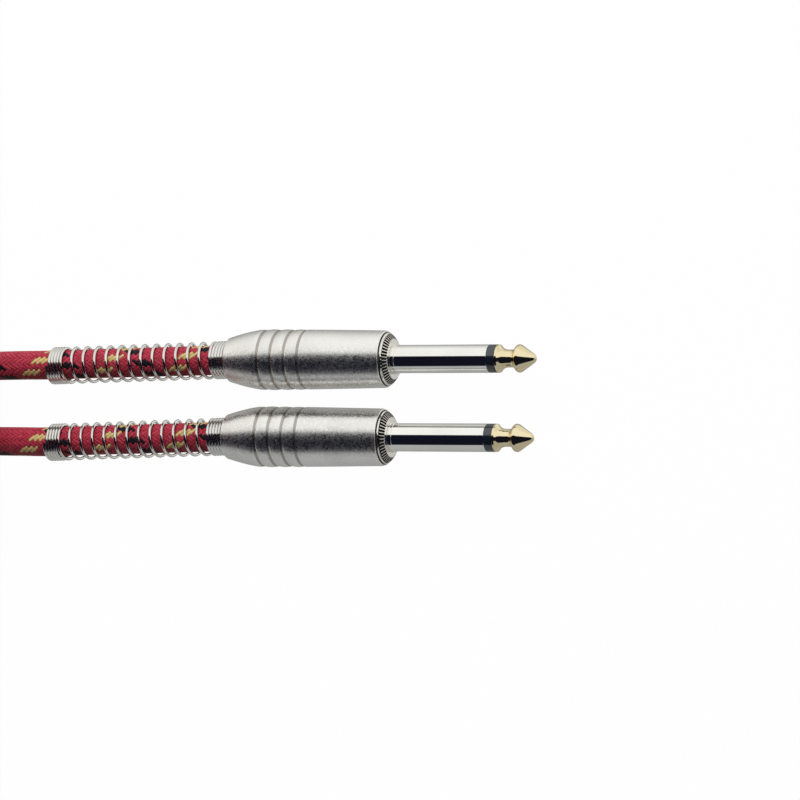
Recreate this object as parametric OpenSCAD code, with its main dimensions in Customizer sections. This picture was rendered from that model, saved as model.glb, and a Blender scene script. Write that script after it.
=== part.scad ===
// Instrument cable: two straight 6.35 mm mono plugs on one braided cable.
// Each plug is built as it comes apart on a bench: contacts, insulators, solder
// terminals, a shell that screws on from behind, and a coil-spring strain relief.
// Frame: +Z up, both plugs lie side by side on the floor (z = 0) and point along +X.
// Plug a is the one at +Y. Millimetres.

/* [Cable] */
// Outer diameter of the braided cable
cable_d = 6.8; // [6.2:0.1:6.9]
// Wall of the jacket with its braid
jacket_wall = 1.05; // [0.8:0.05:1.2]
// Outer diameter of the insulated core
core_d = 2.5; // [2:0.1:2.8]
// Diameter of the bare conductor
conductor_d = 1.0; // [0.6:0.1:1.2]
// Clearance between the layers of the cable, all round
layer_gap = 0.05; // [0.03:0.01:0.1]

/* [Contacts] */
// Diameter of the plug's shaft
shaft_d = 6.35; // [6.3:0.01:6.4]
// Length from the collar's front face to the end of the tip
shaft_reach = 33.8; // [31:0.1:36]
// Length of the tip in front of its insulator
tip_len = 9.0; // [8.6:0.1:10]
// Diameter of the tip's widest ring and ball
ball_d = 6.3; // [6:0.05:6.35]
// Distance from the end of the tip back to the ball's widest point
ball_back = 3.9; // [3.7:0.1:4.3]
// Radius of the ball's rounded edge
ball_round = 0.9; // [0.7:0.05:1]
// Diameter of the neck
neck_d = 4.0; // [3.6:0.1:4.4]
// Radius of the fillet between neck and ball
neck_round = 1.0; // [0.7:0.05:1.2]
// Length of the flange behind the neck
flange_len = 0.55; // [0.4:0.05:0.8]
// Radius of the hollow between flange and neck
hollow_round = 2.2; // [2:0.1:2.4]
// Length of the neck's narrowest stretch
neck_len = 0.9; // [0.6:0.1:1.2]
// Bevel on the turned edges of the contacts
edge_bevel = 0.1; // [0.05:0.01:0.15]
// Radius of the nose
nose_round = 1.3; // [1:0.05:1.5]
// Half angle of the tip's cone
cone_angle = 33.6; // [31:0.2:36]
// Diameter of the centre rod
rod_d = 2.5; // [2:0.1:2.8]
// Diameter of the riveted end of the rod
rivet_d = 3.6; // [3.2:0.1:4]
// Thickness of the riveted end of the rod
rivet_t = 0.5; // [0.3:0.1:0.8]
// Bore of the shaft sleeve
sleeve_bore = 4.2; // [3.8:0.1:4.4]
// Diameter of the base ring on the shaft
base_ring_d = 6.8; // [6.6:0.05:7.2]
// Length of the base ring on the shaft
base_ring_len = 1.0; // [0.6:0.1:1.6]
// Thickness of the sleeve's rolled rear end
flare_t = 0.35; // [0.25:0.05:0.5]

/* [Insulators] */
// Diameter of the visible insulator ring
ring_d = 6.33; // [6.2:0.01:6.34]
// Length of the visible insulator ring
ring_len = 1.9; // [1.5:0.1:2.4]
// Length of each insulator's spigot inside the sleeve
spigot_len = 1.2; // [0.8:0.1:2]
// Thickness of the rear insulator's washer
rear_washer_t = 1.3; // [0.8:0.1:1.8]
// Radial clearance of a pushed-in piece
push_gap = 0.02; // [0.01:0.01:0.05]

/* [Collar] */
// Diameter of the collar's flange
collar_d = 12.0; // [11.8:0.05:12.2]
// Diameter where the serrated cone begins
knurl_d = 11.3; // [11:0.05:11.5]
// Diameter of the collar's flat front face
face_d = 9.3; // [8.8:0.1:9.8]
// Length of the smooth band that shows in front of the shell
band_len = 0.75; // [0.5:0.05:1.2]
// Length of the serrated cone
knurl_len = 0.85; // [0.6:0.05:1.2]
// Number of serrations
knurl_teeth = 44; // [36:1:52]
// Depth of a serration
knurl_depth = 0.22; // [0.1:0.02:0.3]
// Length of the collar's flange inside the mouth of the shell
seat_len = 1.6; // [1.2:0.1:2]
// Thread diameter over its crests
thread_d = 10.8; // [10.6:0.05:11]
// Length of the threaded spigot
thread_len = 7.0; // [6:0.1:8]
// Pitch of the thread
thread_pitch = 0.8; // [0.6:0.05:1]
// Depth of the thread
thread_depth = 0.35; // [0.25:0.05:0.45]
// Plain relief between the collar's shoulder and the first thread
relief_len = 0.6; // [0.4:0.1:0.8]

/* [Terminals] */
// Thickness of the solder terminals
plate_t = 0.7; // [0.5:0.05:0.9]
// Diameter of the tip lug's ring
lug_d = 5.2; // [4.8:0.1:5.6]
// Gap between the tip lug and the rod's riveted end
rivet_gap = 0.15; // [0.1:0.05:0.2]
// Length of the tip lug's raised part behind the rivet
lug_step_gap = 0.8; // [0.6:0.1:1]
// Gap between the bare conductor and the tip lug
lug_gap = 0.1; // [0.05:0.05:0.2]
// Width of the tip lug's tail
lug_w = 2.2; // [1.8:0.1:2.6]
// Diameter of the earth terminal's ring
earth_ring_d = 9.2; // [8.6:0.1:9.4]
// How far the earth terminal's tongue stands outside its claws
tongue_step = 0.45; // [0.3:0.05:0.45]
// Gap between the tongue and the washer and rolled end that it passes
tongue_gap = 0.12; // [0.05:0.01:0.25]
// Angle that the tongue spans
tongue_angle = 44; // [36:2:60]
// Length of the cable clamp's claws
claw_len = 4.5; // [3:0.1:4.8]
// Angle that the claws span
claw_angle = 290; // [260:5:310]
// Gap between the claws and the spring's flared end
claw_back_gap = 1.0; // [0.6:0.1:1.6]
// Length of jacket in front of the claws
jacket_past = 0.6; // [0.3:0.1:1]
// Length of bare shield in front of the jacket
shield_bare = 1.4; // [1:0.1:2]
// Length of bare conductor in front of the core
conductor_bare = 2.2; // [1.8:0.1:2.4]
// Gap between the end of the conductor and the tip lug's step
conductor_gap = 0.4; // [0.3:0.1:0.6]
// Gap between the insulated core and the tip lug's tail
core_gap = 0.3; // [0.2:0.1:0.5]
// Clearance between claws and cable
claw_gap = 0.03; // [0.02:0.01:0.06]
// Distance from the end of the pigtail back to the middle of its solder
earth_solder_back = 0.6; // [0.5:0.1:1]
// Diameter of the solder on the earth tongue
earth_solder_d = 2.0; // [1.6:0.1:2.2]
// Diameter of the shield's twisted pigtail
pigtail_d = 1.0; // [0.8:0.1:1.2]
// Length of the pigtail in front of the shield
pigtail_len = 5.0; // [4.4:0.1:5.2]

/* [Shell] */
// Length of the shell
shell_len = 38.6; // [37:0.1:41]
// Diameter over the shell's widest rib
rib_d = 13.9; // [13.6:0.05:14.4]
// Diameter of the shell's barrel just in front of the ribs
barrel_d = 13.66; // [13.4:0.02:13.8]
// Diameter of the shell's barrel at its front
front_d = 13.0; // [12.9:0.05:13.3]
// Length of the shell's rounded front edge
front_round = 0.9; // [0.5:0.05:1]
// Diameter of the shell's tail
tail_d = 10.44; // [10.2:0.02:10.7]
// Radius of the edge of the tail
tail_round = 0.4; // [0.3:0.05:0.5]
// Length of the convex tail cone
cone_len = 8; // [7.5:0.1:8.5]
// Distance from the tail to the first groove
groove_start = 9.35; // [9:0.05:9.8]
// Distance from one groove to the next
groove_pitch = 3.3; // [3:0.05:3.5]
// Depth of a groove
groove_depth = 0.34; // [0.2:0.02:0.4]
// Width of a groove at its mouth
groove_w = 0.7; // [0.5:0.05:0.9]
// Share of a groove's mouth that lies behind its deepest line
groove_lean = 0.7; // [0.5:0.05:0.8]
// How much each rib swells between its grooves, in radius
rib_swell = 0.12; // [0.06:0.02:0.16]
// Distance along the tail cone to its roundest point, as a share
cone_bend = 0.61; // [0.58:0.01:0.66]
// Depth of the tail cone's roundest point below the widest rib
cone_drop = 0.4; // [0.3:0.05:0.5]
// Number of grooves
groove_count = 4; // [3:1:5]
// Bore of the shell round its liner
shell_bore = 11.0; // [10.94:0.02:11.2]
// Bevel on the inner edge of the shell's mouth
mouth_bevel = 0.1; // [0.05:0.05:0.15]
// Length of the shell's thread past the collar's thread
thread_past = 1.0; // [0.6:0.1:1.5]
// Radial clearance of the thread in the shell
thread_gap = 0.05; // [0.03:0.01:0.08]
// Radial clearance of the collar in the mouth of the shell
mouth_gap = 0.08; // [0.05:0.01:0.1]
// Gap along the axis between the collar's shoulder and the shell's seat
seat_gap = 0.1; // [0.05:0.05:0.2]
// Clearance between spring and shell at the tail hole
tail_hole_gap = 0.22; // [0.15:0.01:0.25]
// Length of the tail hole
tail_hole_len = 3.6; // [3.5:0.1:5]
// Length of the inner cone that holds the spring's flared end
inner_cone_len = 2.6; // [2:0.1:3]

/* [Insulating tube] */
// Wall of the insulating tube
liner_wall = 0.4; // [0.3:0.02:0.45]
// Clearance between the insulating tube and the shell
liner_gap = 0.12; // [0.1:0.01:0.15]
// Gap between the insulating tube and the thread's rear end
liner_front_gap = 2.2; // [1.5:0.1:3]
// Gap between the insulating tube and the spring's flared end
liner_back_gap = 0.5; // [0.3:0.1:1]

/* [Spring] */
// Wire diameter of the strain-relief spring
wire_d = 0.7; // [0.6:0.02:0.74]
// Clearance between the cable and the spring's turns, all round
spring_gap = 0.3; // [0.28:0.01:0.34]
// Pitch of the close turns
close_pitch = 1.15; // [1.15:0.01:1.25]
// Pitch of the open turns
open_pitch = 2.99; // [2.65:0.01:3.2]
// Number of close turns at the free end
end_turns = 4.5; // [3.5:0.5:6]
// Number of open turns
open_turns = 12; // [10:1:14]
// Number of close turns just behind the shell
tail_turns = 4; // [3:1:5]
// Pitch of the turns inside the shell's tail hole
inner_pitch = 2.1; // [2:0.05:2.4]
// Number of turns inside the shell's tail hole
inner_turns = 3; // [2:1:3]
// Number of flared turns that hold the spring in the shell
flare_turns = 2; // [1:1:2]
// Length of bore between the flared turns and the inner cone
flare_front_gap = 0.3; // [0.1:0.05:0.5]
// How much the flared turns stand out, in radius
flare_step = 0.62; // [0.4:0.02:0.66]
// Angle at which cable and spring lean aside behind the shell
lean_angle = 1.7; // [0:0.1:2]
// Straight stretch behind the shell before cable and spring lean
lean_start = 0.6; // [0.4:0.1:1]

/* [Layout] */
// Distance between the two plugs' axes
plug_spacing = 17.6; // [16:0.1:20]
// How far plug b lies behind plug a
plug_b_back = 0.6; // [0:0.1:2]

/* [Hank] */
// Loops in the hank, counted from its first run to its last
hank_loops = 5.5; // [5.5:1:5.5]
// Loops in one of the hank's four layers
loops_per_layer = 1.5; // [1.5:0.5:1.5]
// Length of the hank's straight runs
run_len = 68; // [60:1:76]
// Radius of the tightest fold, in cable diameters
fold_ratio = 2.95; // [2.9:0.05:3.2]
// Clear space between neighbouring strands of a layer
strand_gap = 0.6; // [0.55:0.05:0.8]
// Clear space between one layer and the next
layer_space = 0.8; // [0.7:0.05:1]
// How far the tie draws each run in at the waist
waist_in = 5; // [3:0.5:6]
// Extra step between the runs where they slant to the waist, as a share
waist_step = 0.05; // [0.03:0.01:0.08]
// Height of the hank's underside above the floor where it lies on its own leads
near_lift = 7.8; // [7.6:0.1:9]

/* [Tie] */
// Thickness of the tie's strap
strap_t = 1.6; // [1.2:0.1:1.8]
// Width of the tie's strap
strap_w = 18; // [14:1:20]
// Clear space between the strap and the strands
strap_gap = 0.3; // [0.2:0.1:0.5]
// How much wider than a strand the strap's corners are, in radius
strap_ease = 0.4; // [0.2:0.1:0.5]
// Length of the strap's overlapping end
strap_end = 26; // [20:1:32]

/* [Hidden] */
$fn = 64;

// ---- Radii ----
cable_r = cable_d / 2;
shaft_r = shaft_d / 2;
rod_r = rod_d / 2;
sleeve_r = sleeve_bore / 2;
ball_r = ball_d / 2;
neck_r = neck_d / 2;
core_r = core_d / 2;
shield_r = cable_r - jacket_wall - layer_gap;
claw_r = cable_r + claw_gap;
tongue_r = claw_r + tongue_step;
rear_r = tongue_r - tongue_gap;
coil_r = cable_r + spring_gap + wire_d / 2;
tail_hole_r = coil_r + wire_d / 2 + tail_hole_gap;
liner_r = shell_bore / 2 - liner_gap;

// ---- Places along a plug, measured from the collar's front face ----
ring_front = shaft_reach - tip_len;
ring_back = ring_front - ring_len;
knurl_back = -knurl_len;
band_back = knurl_back - band_len;
seat_back = band_back - seat_len;
thread_back = seat_back - thread_len;
earth_back = thread_back - plate_t;
flare_back = earth_back - flare_t;
washer_back = flare_back - rear_washer_t;
lug_back = washer_back - plate_t;
rod_back = lug_back - rivet_t;
shell_front = band_back - seat_gap;
shell_tail = shell_front - shell_len;
cone_top = shell_tail + tail_hole_len + inner_cone_len;
spring_front = cone_top + flare_turns * close_pitch + flare_front_gap;
liner_back = spring_front + wire_d / 2 + liner_back_gap;
liner_front = thread_back - liner_front_gap;
claw_back = spring_front + wire_d / 2 + claw_back_gap;
jacket_cut = claw_back + claw_len + jacket_past;
shield_cut = jacket_cut + shield_bare;
lug_step_x = rod_back - lug_step_gap;
conductor_cut = lug_step_x - plate_t - conductor_gap;
core_cut = conductor_cut - conductor_bare;
lug_end = core_cut + core_gap;

// ---- Spring, in stretches of turns from its flared end to its free end ----
SPRING_TURNS = [flare_turns, inner_turns, tail_turns, open_turns, end_turns];
SPRING_PITCHES = [close_pitch, inner_pitch, close_pitch, open_pitch, close_pitch];
spring_back = spring_front - SPRING_TURNS * SPRING_PITCHES - wire_d / 2;

// ---- Layout ----
// How far the shell and its spring move back as the shell is unscrewed.
travel = floor(thread_len / thread_pitch - 1) * thread_pitch;
// How far the cord runs straight past the spring's furthest reach.
spring_past = 0.4;
// The plugs rest on their widest ribs, and the origin is under their middle.
axis_z = rib_d / 2;
face_x = (plug_b_back - shaft_reach - spring_back) / 2;
PLACE_A = [face_x, plug_spacing / 2, axis_z];
PLACE_B = [face_x - plug_b_back, -plug_spacing / 2, axis_z];

// ---- Hank ----
HANK_RINGS = 24;
RUN_SHARE = 4 / HANK_RINGS;
// How far the hank's last ring lies above the one before it, and nearer to the middle.
LAST_RISE = 0.5;
LAST_INWARD = 0.8;
TUBE_SIDES = 6;
CORD_SIDES = 10;
WIRE_RINGS = 12;
strand_step = cable_d + strand_gap;
layer_pitch = cable_d + layer_space;
// The hank lies on the strap at its waist, and the strap lies on the floor.
waist_lift = strap_t + strap_gap;
strap_past = 2;
far_rise = run_len / 2 - strap_w / 2 - strap_past;
near_rise = run_len / 2 + strap_w / 2 + strap_past;
// The first fold lies a quarter of a step outside the innermost radius.
hank_r = fold_ratio * cable_d - strand_step / 4;
widest_fold = hank_r + (loops_per_layer - 0.25) * strand_step;
HANK_FRONT_X = -75;
hank_x = HANK_FRONT_X - cable_r - widest_fold - run_len / 2;

// ---- Cord routes past the springs, up to the hank ----
// Each point is [x, y, z] in the model's frame, along the middle of the cord.
CORD_A_POINTS = [
    [-68, 7.2, 6.8], [-72, 7.1, 6.1], [-76, 7.1, 4.8], [-80, 7.1, 3.8], [-84, 7.2, 3.5],
    [-92, 7.6, 3.5], [-100, 8.5, 3.7], [-108, 9.9, 4.3], [-116, 11.5, 5.0],
    [-124, 12.9, 5.5]
];
CORD_B_POINTS = [
    [-68, -10.4, 6.8], [-72, -10.5, 6.1], [-76, -10.5, 4.8], [-80, -10.5, 3.8],
    [-84, -10.4, 3.5], [-90, -10.2, 3.8], [-95, -9.9, 4.8], [-100, -9.6, 6.3],
    [-105, -9.3, 8.6], [-110, -9.0, 11.3], [-115, -8.8, 14.2], [-120, -8.8, 17.3],
    [-125, -8.8, 20.3], [-130, -8.9, 23], [-135, -9.6, 25.3], [-140, -11.2, 27],
    [-145, -13.6, 28], [-150, -16.4, 28.3], [-155, -18.9, 28.1], [-160, -20.6, 27.5]
];

// ======================= Helpers =======================
function sum(list, i = 0) = i >= len(list) ? 0 : list[i] + sum(list, i + 1);
function smooth(u) = let (v = max(0, min(1, u))) v * v * (3 - 2 * v);
function oval(x, y, rx, ry, from, to, n = 8) =
    [for (i = [0 : n]) let (a = from + (to - from) * i / n) [x + rx * cos(a), y + ry * sin(a)]];
function arc(x, y, r, from, to, n = 8) = oval(x, y, r, r, from, to, n);

// A solid of revolution about the X axis from points [place along the axis, radius].
module turned(points) {
    rotate([0, 90, 0])
        rotate_extrude()
            polygon([for (p = points) [p[1], p[0]]]);
}

// A ring or tube about the X axis, from one place to another.
module tube(from, to, inner_r, outer_r) {
    turned([[from, inner_r], [to, inner_r], [to, outer_r], [from, outer_r]]);
}

// Triangles of a closed tube through rings of points.
module swept(rings) {
    n = len(rings);
    sides = len(rings[0]);
    points = [for (ring = rings) for (p = ring) p];
    walls = [
        for (i = [0 : n - 2]) for (j = [0 : sides - 1])
            let (a = i * sides + j, b = i * sides + (j + 1) % sides, c = a + sides, e = b + sides)
            each [[a, c, b], [b, c, e]]
    ];
    first = [for (j = [1 : sides - 2]) [0, j, j + 1]];
    last = [for (j = [1 : sides - 2]) [(n - 1) * sides, (n - 1) * sides + j + 1, (n - 1) * sides + j]];
    polyhedron(points = points, faces = concat(walls, first, last));
}

// Rings of a tube along a path that never runs straight up: each ring is square to the path,
// with a corner straight below its middle.
function path_rings(path, r, sides) =
    [for (i = [0 : len(path) - 1])
        let (
            ahead = path[min(i + 1, len(path) - 1)] - path[max(i - 1, 0)],
            along = ahead / norm(ahead),
            across = cross([0, 0, 1], along) / norm(cross([0, 0, 1], along)),
            up = cross(along, across)
        )
        [for (j = [0 : sides - 1])
            let (a = -90 + 360 * j / sides)
            path[i] + r * (cos(a) * across + sin(a) * up)]];

// Least distance between the middles of two stretches of a path, apart by more than skip points.
function least_apart(path, skip) =
    min([for (i = [0 : len(path) - 1 - skip]) for (j = [i + skip : len(path) - 1])
        norm(path[i] - path[j])]);
// A path with the middle of each stretch added, so that gaps are measured there too.
function with_middles(path) =
    [for (i = [0 : 2 * len(path) - 2])
        i % 2 == 0 ? path[i / 2] : (path[(i - 1) / 2] + path[(i + 1) / 2]) / 2];
function path_length(path) =
    sum([for (i = [0 : len(path) - 2]) norm(path[i + 1] - path[i])]);

// ======================= Contacts =======================
module tip_contact() {
    cone_end = shaft_reach - nose_round;
    neck_x = shaft_reach - ball_back
        - sqrt(pow(ball_round + neck_round, 2) - pow(ball_r - ball_round - neck_r - neck_round, 2));
    blend = atan2(neck_r + neck_round - ball_r + ball_round, neck_x - shaft_reach + ball_back);
    hollow_x = neck_x - neck_len;
    color([0.86, 0.74, 0.45])
        turned(concat(
            [[rod_back, 0], [rod_back, rivet_d / 2], [lug_back, rivet_d / 2], [lug_back, rod_r]],
            [[ring_front, rod_r], [ring_front, ball_r - edge_bevel], [ring_front + edge_bevel, ball_r]],
            [[ring_front + flange_len, ball_r]],
            arc(hollow_x, neck_r + hollow_round, hollow_round, 225, 270, 5),
            arc(neck_x, neck_r + neck_round, neck_round, 270, blend + 180 + (blend < 0 ? 360 : 0), 5),
            arc(shaft_reach - ball_back, ball_r - ball_round, ball_round, blend, 90 - cone_angle, 8),
            arc(cone_end, 0, nose_round, 90 - cone_angle, 0, 5)
        ));
}

module shaft_sleeve() {
    color([0.86, 0.86, 0.84])
        turned([
            [flare_back, sleeve_r], [ring_back, sleeve_r], [ring_back, shaft_r],
            [base_ring_len, shaft_r], [base_ring_len, base_ring_d / 2 - edge_bevel],
            [base_ring_len - edge_bevel, base_ring_d / 2], [0, base_ring_d / 2], [0, shaft_r],
            [earth_back, shaft_r], [earth_back, rear_r], [flare_back, rear_r]
        ]);
}

// ======================= Insulators =======================
module tip_insulator() {
    color([0.08, 0.08, 0.09])
        turned([
            [ring_back - spigot_len, rod_r + push_gap], [ring_front, rod_r + push_gap],
            [ring_front, ring_d / 2], [ring_back, ring_d / 2],
            [ring_back, sleeve_r - push_gap], [ring_back - spigot_len, sleeve_r - push_gap]
        ]);
}

module rod_insulator() {
    color([0.9, 0.9, 0.86])
        tube(flare_back + spigot_len, ring_back - spigot_len, rod_r + push_gap, sleeve_r - push_gap);
}

module rear_insulator() {
    color([0.12, 0.12, 0.12])
        turned([
            [washer_back, rod_r + push_gap], [flare_back + spigot_len, rod_r + push_gap],
            [flare_back + spigot_len, sleeve_r - push_gap], [flare_back, sleeve_r - push_gap],
            [flare_back, rear_r], [washer_back, rear_r]
        ]);
}

// ======================= Collar =======================
module knurled_collar() {
    root_r = thread_d / 2 - thread_depth;
    notch_side = knurl_depth * sqrt(2);
    crest = 0.2 * thread_pitch;
    turns = floor((thread_len - 2 * relief_len) / thread_pitch);
    first = seat_back - relief_len;
    color([0.84, 0.83, 0.8])
        difference() {
            turned(concat(
                [[0, shaft_r + push_gap], [0, face_d / 2], [knurl_back, knurl_d / 2]],
                [[band_back, collar_d / 2], [seat_back, collar_d / 2], [seat_back, root_r]],
                [for (i = [0 : turns - 1]) each [
                    [first - i * thread_pitch, root_r],
                    [first - (i + 0.5) * thread_pitch + crest / 2, thread_d / 2],
                    [first - (i + 0.5) * thread_pitch - crest / 2, thread_d / 2],
                    [first - (i + 1) * thread_pitch, root_r]
                ]],
                [[thread_back, root_r], [thread_back, shaft_r + push_gap]]
            ));
            // Serrations are straight notches down the cone.
            for (i = [0 : knurl_teeth - 1])
                rotate([360 * i / knurl_teeth, 0, 0])
                    translate([knurl_back, 0, knurl_d / 2])
                        rotate([0, atan2((knurl_d - face_d) / 2, knurl_len), 0])
                            rotate([45, 0, 0])
                                cube([2 * knurl_len, notch_side, notch_side], center = true);
        }
}

// ======================= Terminals =======================
module tip_lug() {
    low_z = conductor_d / 2 + lug_gap;
    high_z = rivet_d / 2 + rivet_gap;
    color([0.8, 0.78, 0.7])
        union() {
            tube(lug_back, washer_back, rod_r + push_gap, lug_d / 2);
            translate([lug_step_x, -lug_w / 2, high_z])
                cube([washer_back - lug_step_x, lug_w, plate_t]);
            translate([lug_step_x - plate_t, -lug_w / 2, low_z])
                cube([plate_t, lug_w, high_z + plate_t - low_z]);
            translate([lug_end, -lug_w / 2, low_z])
                cube([lug_step_x - lug_end, lug_w, plate_t]);
        }
}

// A stretch of a ring about the X axis that spans an angle about straight down.
module sector(from, to, inner_r, outer_r, angle) {
    rotate([0, 90, 0])
        rotate([0, 0, -angle / 2])
            rotate_extrude(angle = angle)
                polygon([[inner_r, from], [outer_r, from], [outer_r, to], [inner_r, to]]);
}

module cable_clamp() {
    color([0.8, 0.78, 0.7])
        union() {
            tube(earth_back, thread_back, shaft_r + push_gap, earth_ring_d / 2);
            sector(claw_back, earth_back + plate_t / 2, tongue_r, tongue_r + plate_t, tongue_angle);
            sector(claw_back, claw_back + claw_len, claw_r, claw_r + plate_t, claw_angle);
        }
}

module tip_solder() {
    color([0.72, 0.72, 0.74])
        translate([conductor_cut - 0.4 * conductor_bare, 0, conductor_d / 2 + 2 * lug_gap])
            sphere(d = conductor_bare);
}

module earth_solder() {
    color([0.72, 0.72, 0.74])
        translate([shield_cut + pigtail_len - earth_solder_back, 0, -tongue_r + earth_solder_d / 4])
            sphere(d = earth_solder_d);
}

// ======================= Cable ends inside a plug =======================
module jacket_end() {
    color([0.62, 0.12, 0.2])
        tube(shell_tail, jacket_cut, cable_r - jacket_wall, cable_r);
}

module shield_end() {
    low_z = -tongue_r + pigtail_d / 2 + layer_gap;
    high_z = -core_r - layer_gap - pigtail_d / 2;
    // The pigtail starts a little inside the shield, so that the two are one piece.
    root_x = shield_cut - pigtail_d / 3;
    out_x = shield_cut + pigtail_len / 2;
    slant = [out_x - root_x, low_z - high_z];
    color([0.75, 0.5, 0.32])
        union() {
            tube(shell_tail, shield_cut, core_r + layer_gap, shield_r);
            translate([root_x, 0, high_z])
                rotate([0, 90 - atan2(slant[1], slant[0]), 0])
                    cylinder(d = pigtail_d, h = norm(slant));
            translate([out_x, 0, low_z]) {
                sphere(d = 1.1 * pigtail_d);
                rotate([0, 90, 0])
                    cylinder(d = pigtail_d, h = pigtail_len / 2);
            }
        }
}

module core_end() {
    color([0.93, 0.92, 0.88])
        tube(shell_tail, core_cut, conductor_d / 2 + layer_gap, core_r);
}

module conductor_end() {
    color([0.8, 0.5, 0.3])
        turned([
            [shell_tail, 0], [shell_tail, conductor_d / 2],
            [conductor_cut, conductor_d / 2], [conductor_cut, 0]
        ]);
}

// ======================= Shell =======================
// Outer radius of the shell's barrel at a place along the plug.
function barrel_r(x) =
    let (back = shell_tail + groove_start + (groove_count - 1) * groove_pitch)
    barrel_d / 2 + (front_d - barrel_d) / 2 * (x - back) / (shell_front - back);

// Points of the convex tail, then a barrel-shaped rib between each pair of grooves.
function tail_points() =
    let (
        start = [shell_tail + tail_round, tail_d / 2],
        end = [shell_tail + cone_len, rib_d / 2 - rib_swell / 2],
        bend = [shell_tail + cone_bend * cone_len, rib_d / 2 - cone_drop]
    )
    [for (i = [0 : 8]) let (t = i / 8)
        (1 - t) * (1 - t) * start + 2 * t * (1 - t) * bend + t * t * end];

// Radius of the rib in front of each groove: the first is the widest.
function rib_r(i) = rib_d / 2 - i * (rib_d - barrel_d) / 2 / (groove_count - 1);

function groove_points() =
    [for (i = [0 : groove_count - 1])
        let (
            x = shell_tail + groove_start + i * groove_pitch,
            back = x - groove_lean * groove_w,
            front = back + groove_w,
            edge = rib_r(max(i - 1, 0)) - rib_swell,
            is_last = i == groove_count - 1
        )
        each concat(
            [[back, edge], [x, edge + rib_swell - groove_depth]],
            [[front, is_last ? barrel_r(front) : rib_r(i) - rib_swell]],
            is_last ? [] : [for (k = [1 : 5]) [
                front + k / 6 * (groove_pitch - groove_w),
                rib_r(i) - rib_swell * pow(k / 3 - 1, 2)
            ]]
        )];

module shell() {
    thread_bore = thread_d / 2 + thread_gap;
    mouth_r = collar_d / 2 + mouth_gap;
    rim_r = mouth_r + mouth_bevel;
    seat_x = seat_back - seat_gap;
    thread_end = thread_back - thread_past;
    color([0.78, 0.77, 0.75])
        turned(concat(
            [[shell_tail, tail_hole_r], [shell_tail, tail_d / 2 - tail_round]],
            tail_points(),
            groove_points(),
            oval(shell_front - front_round, rim_r, front_round, front_d / 2 - rim_r, 90, 0, 6),
            [[shell_front - mouth_bevel, mouth_r], [seat_x, mouth_r]],
            [[seat_x, thread_bore], [thread_end, thread_bore], [thread_end, shell_bore / 2]],
            [[cone_top, shell_bore / 2], [shell_tail + tail_hole_len, tail_hole_r]]
        ));
}

module insulating_tube() {
    color([0.93, 0.93, 0.9])
        tube(liner_back, liner_front, liner_r - liner_wall, liner_r);
}

// ======================= Spring =======================
// How far back the wire has come after a number of turns, from a stretch of turns on.
function spring_run(turn, i = 0) =
    i == len(SPRING_TURNS) - 1 || turn <= SPRING_TURNS[i]
        ? turn * SPRING_PITCHES[i]
        : SPRING_TURNS[i] * SPRING_PITCHES[i] + spring_run(turn - SPRING_TURNS[i], i + 1);

// Behind the shell, cable and spring lean a little towards -Y.
function leaning(p) = p - [0, max(0, shell_tail - lean_start - p[0]) * tan(lean_angle), 0];

function spring_point(turn) =
    let (r = coil_r + flare_step * (1 - smooth(turn - flare_turns)))
    [spring_front - spring_run(turn), r * sin(360 * turn), r * cos(360 * turn)];

SPRING_PATH = [
    for (i = [0 : sum(SPRING_TURNS) * WIRE_RINGS]) spring_point(i / WIRE_RINGS)
];

// Rings of the wire: one corner of each points away from the plug's axis.
function wire_rings(path, r, sides) =
    [for (i = [0 : len(path) - 1])
        let (
            ahead = path[min(i + 1, len(path) - 1)] - path[max(i - 1, 0)],
            along = ahead / norm(ahead),
            outward = [0, path[i][1], path[i][2]],
            side = cross(along, outward) / norm(cross(along, outward)),
            out = cross(side, along)
        )
        [for (j = [0 : sides - 1])
            let (a = 360 * (j + 0.5) / sides)
            path[i] + r * (cos(a) * out + sin(a) * side)]];

module spring() {
    color([0.8, 0.8, 0.8])
        swept([
            for (ring = wire_rings(SPRING_PATH, wire_d / 2, TUBE_SIDES))
                [for (p = ring) leaning(p)]
        ]);
}

// ======================= Cord, hank and tie =======================
// How many steps out a strand lies: it goes in and out again at a steady rate.
function steps_out(t) = loops_per_layer - abs(t % (2 * loops_per_layer) - loops_per_layer);

// Which layer a strand lies in. It climbs along the run where the spiral reverses.
function layer_at(t) =
    sum([for (k = [1 : 3]) smooth((t - k * loops_per_layer + RUN_SHARE / 2) / RUN_SHARE)]);

// Height of the underside: flat on the floor at the far end, over the tie's strap
// at the waist, and over the two leads at the near end.
function underside(x) =
    waist_lift * smooth((x + run_len / 2) / far_rise)
    + (near_lift - waist_lift) * smooth((x - strap_w / 2 - strap_past) / near_rise);

// How far from the middle a run lies, as a share of the way from the waist to a fold.
function run_side(out, u) =
    hank_r + out * (1 + waist_step * sin(180 * u)) - waist_in * (1 + cos(180 * u)) / 2;

function hank_point(t) =
    let (
        phase = t - floor(t),
        half = RUN_SHARE / 2,
        out = strand_step * steps_out(t),
        on_far_run = abs(phase - 0.5) <= half,
        on_near_side = phase > 0.5,
        u = on_far_run ? (phase - 0.5) / half : phase <= half ? -phase / half : (1 - phase) / half,
        on_run = on_far_run || phase <= half || phase >= 1 - half,
        side = on_far_run ? -1 : 1,
        turn = on_near_side
            ? -90 + 180 * (phase - 0.5 - half) / (0.5 - 2 * half)
            : 90 + 180 * (phase - half) / (0.5 - 2 * half),
        end_x = on_near_side ? run_len / 2 : -run_len / 2,
        x = on_run ? u * run_len / 2 : end_x + (hank_r + out) * cos(turn),
        y = on_run ? side * run_side(out, abs(u)) : (hank_r + out) * sin(turn)
    )
    [hank_x + x, y, cable_r + layer_at(t) * layer_pitch + underside(x)];

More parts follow.
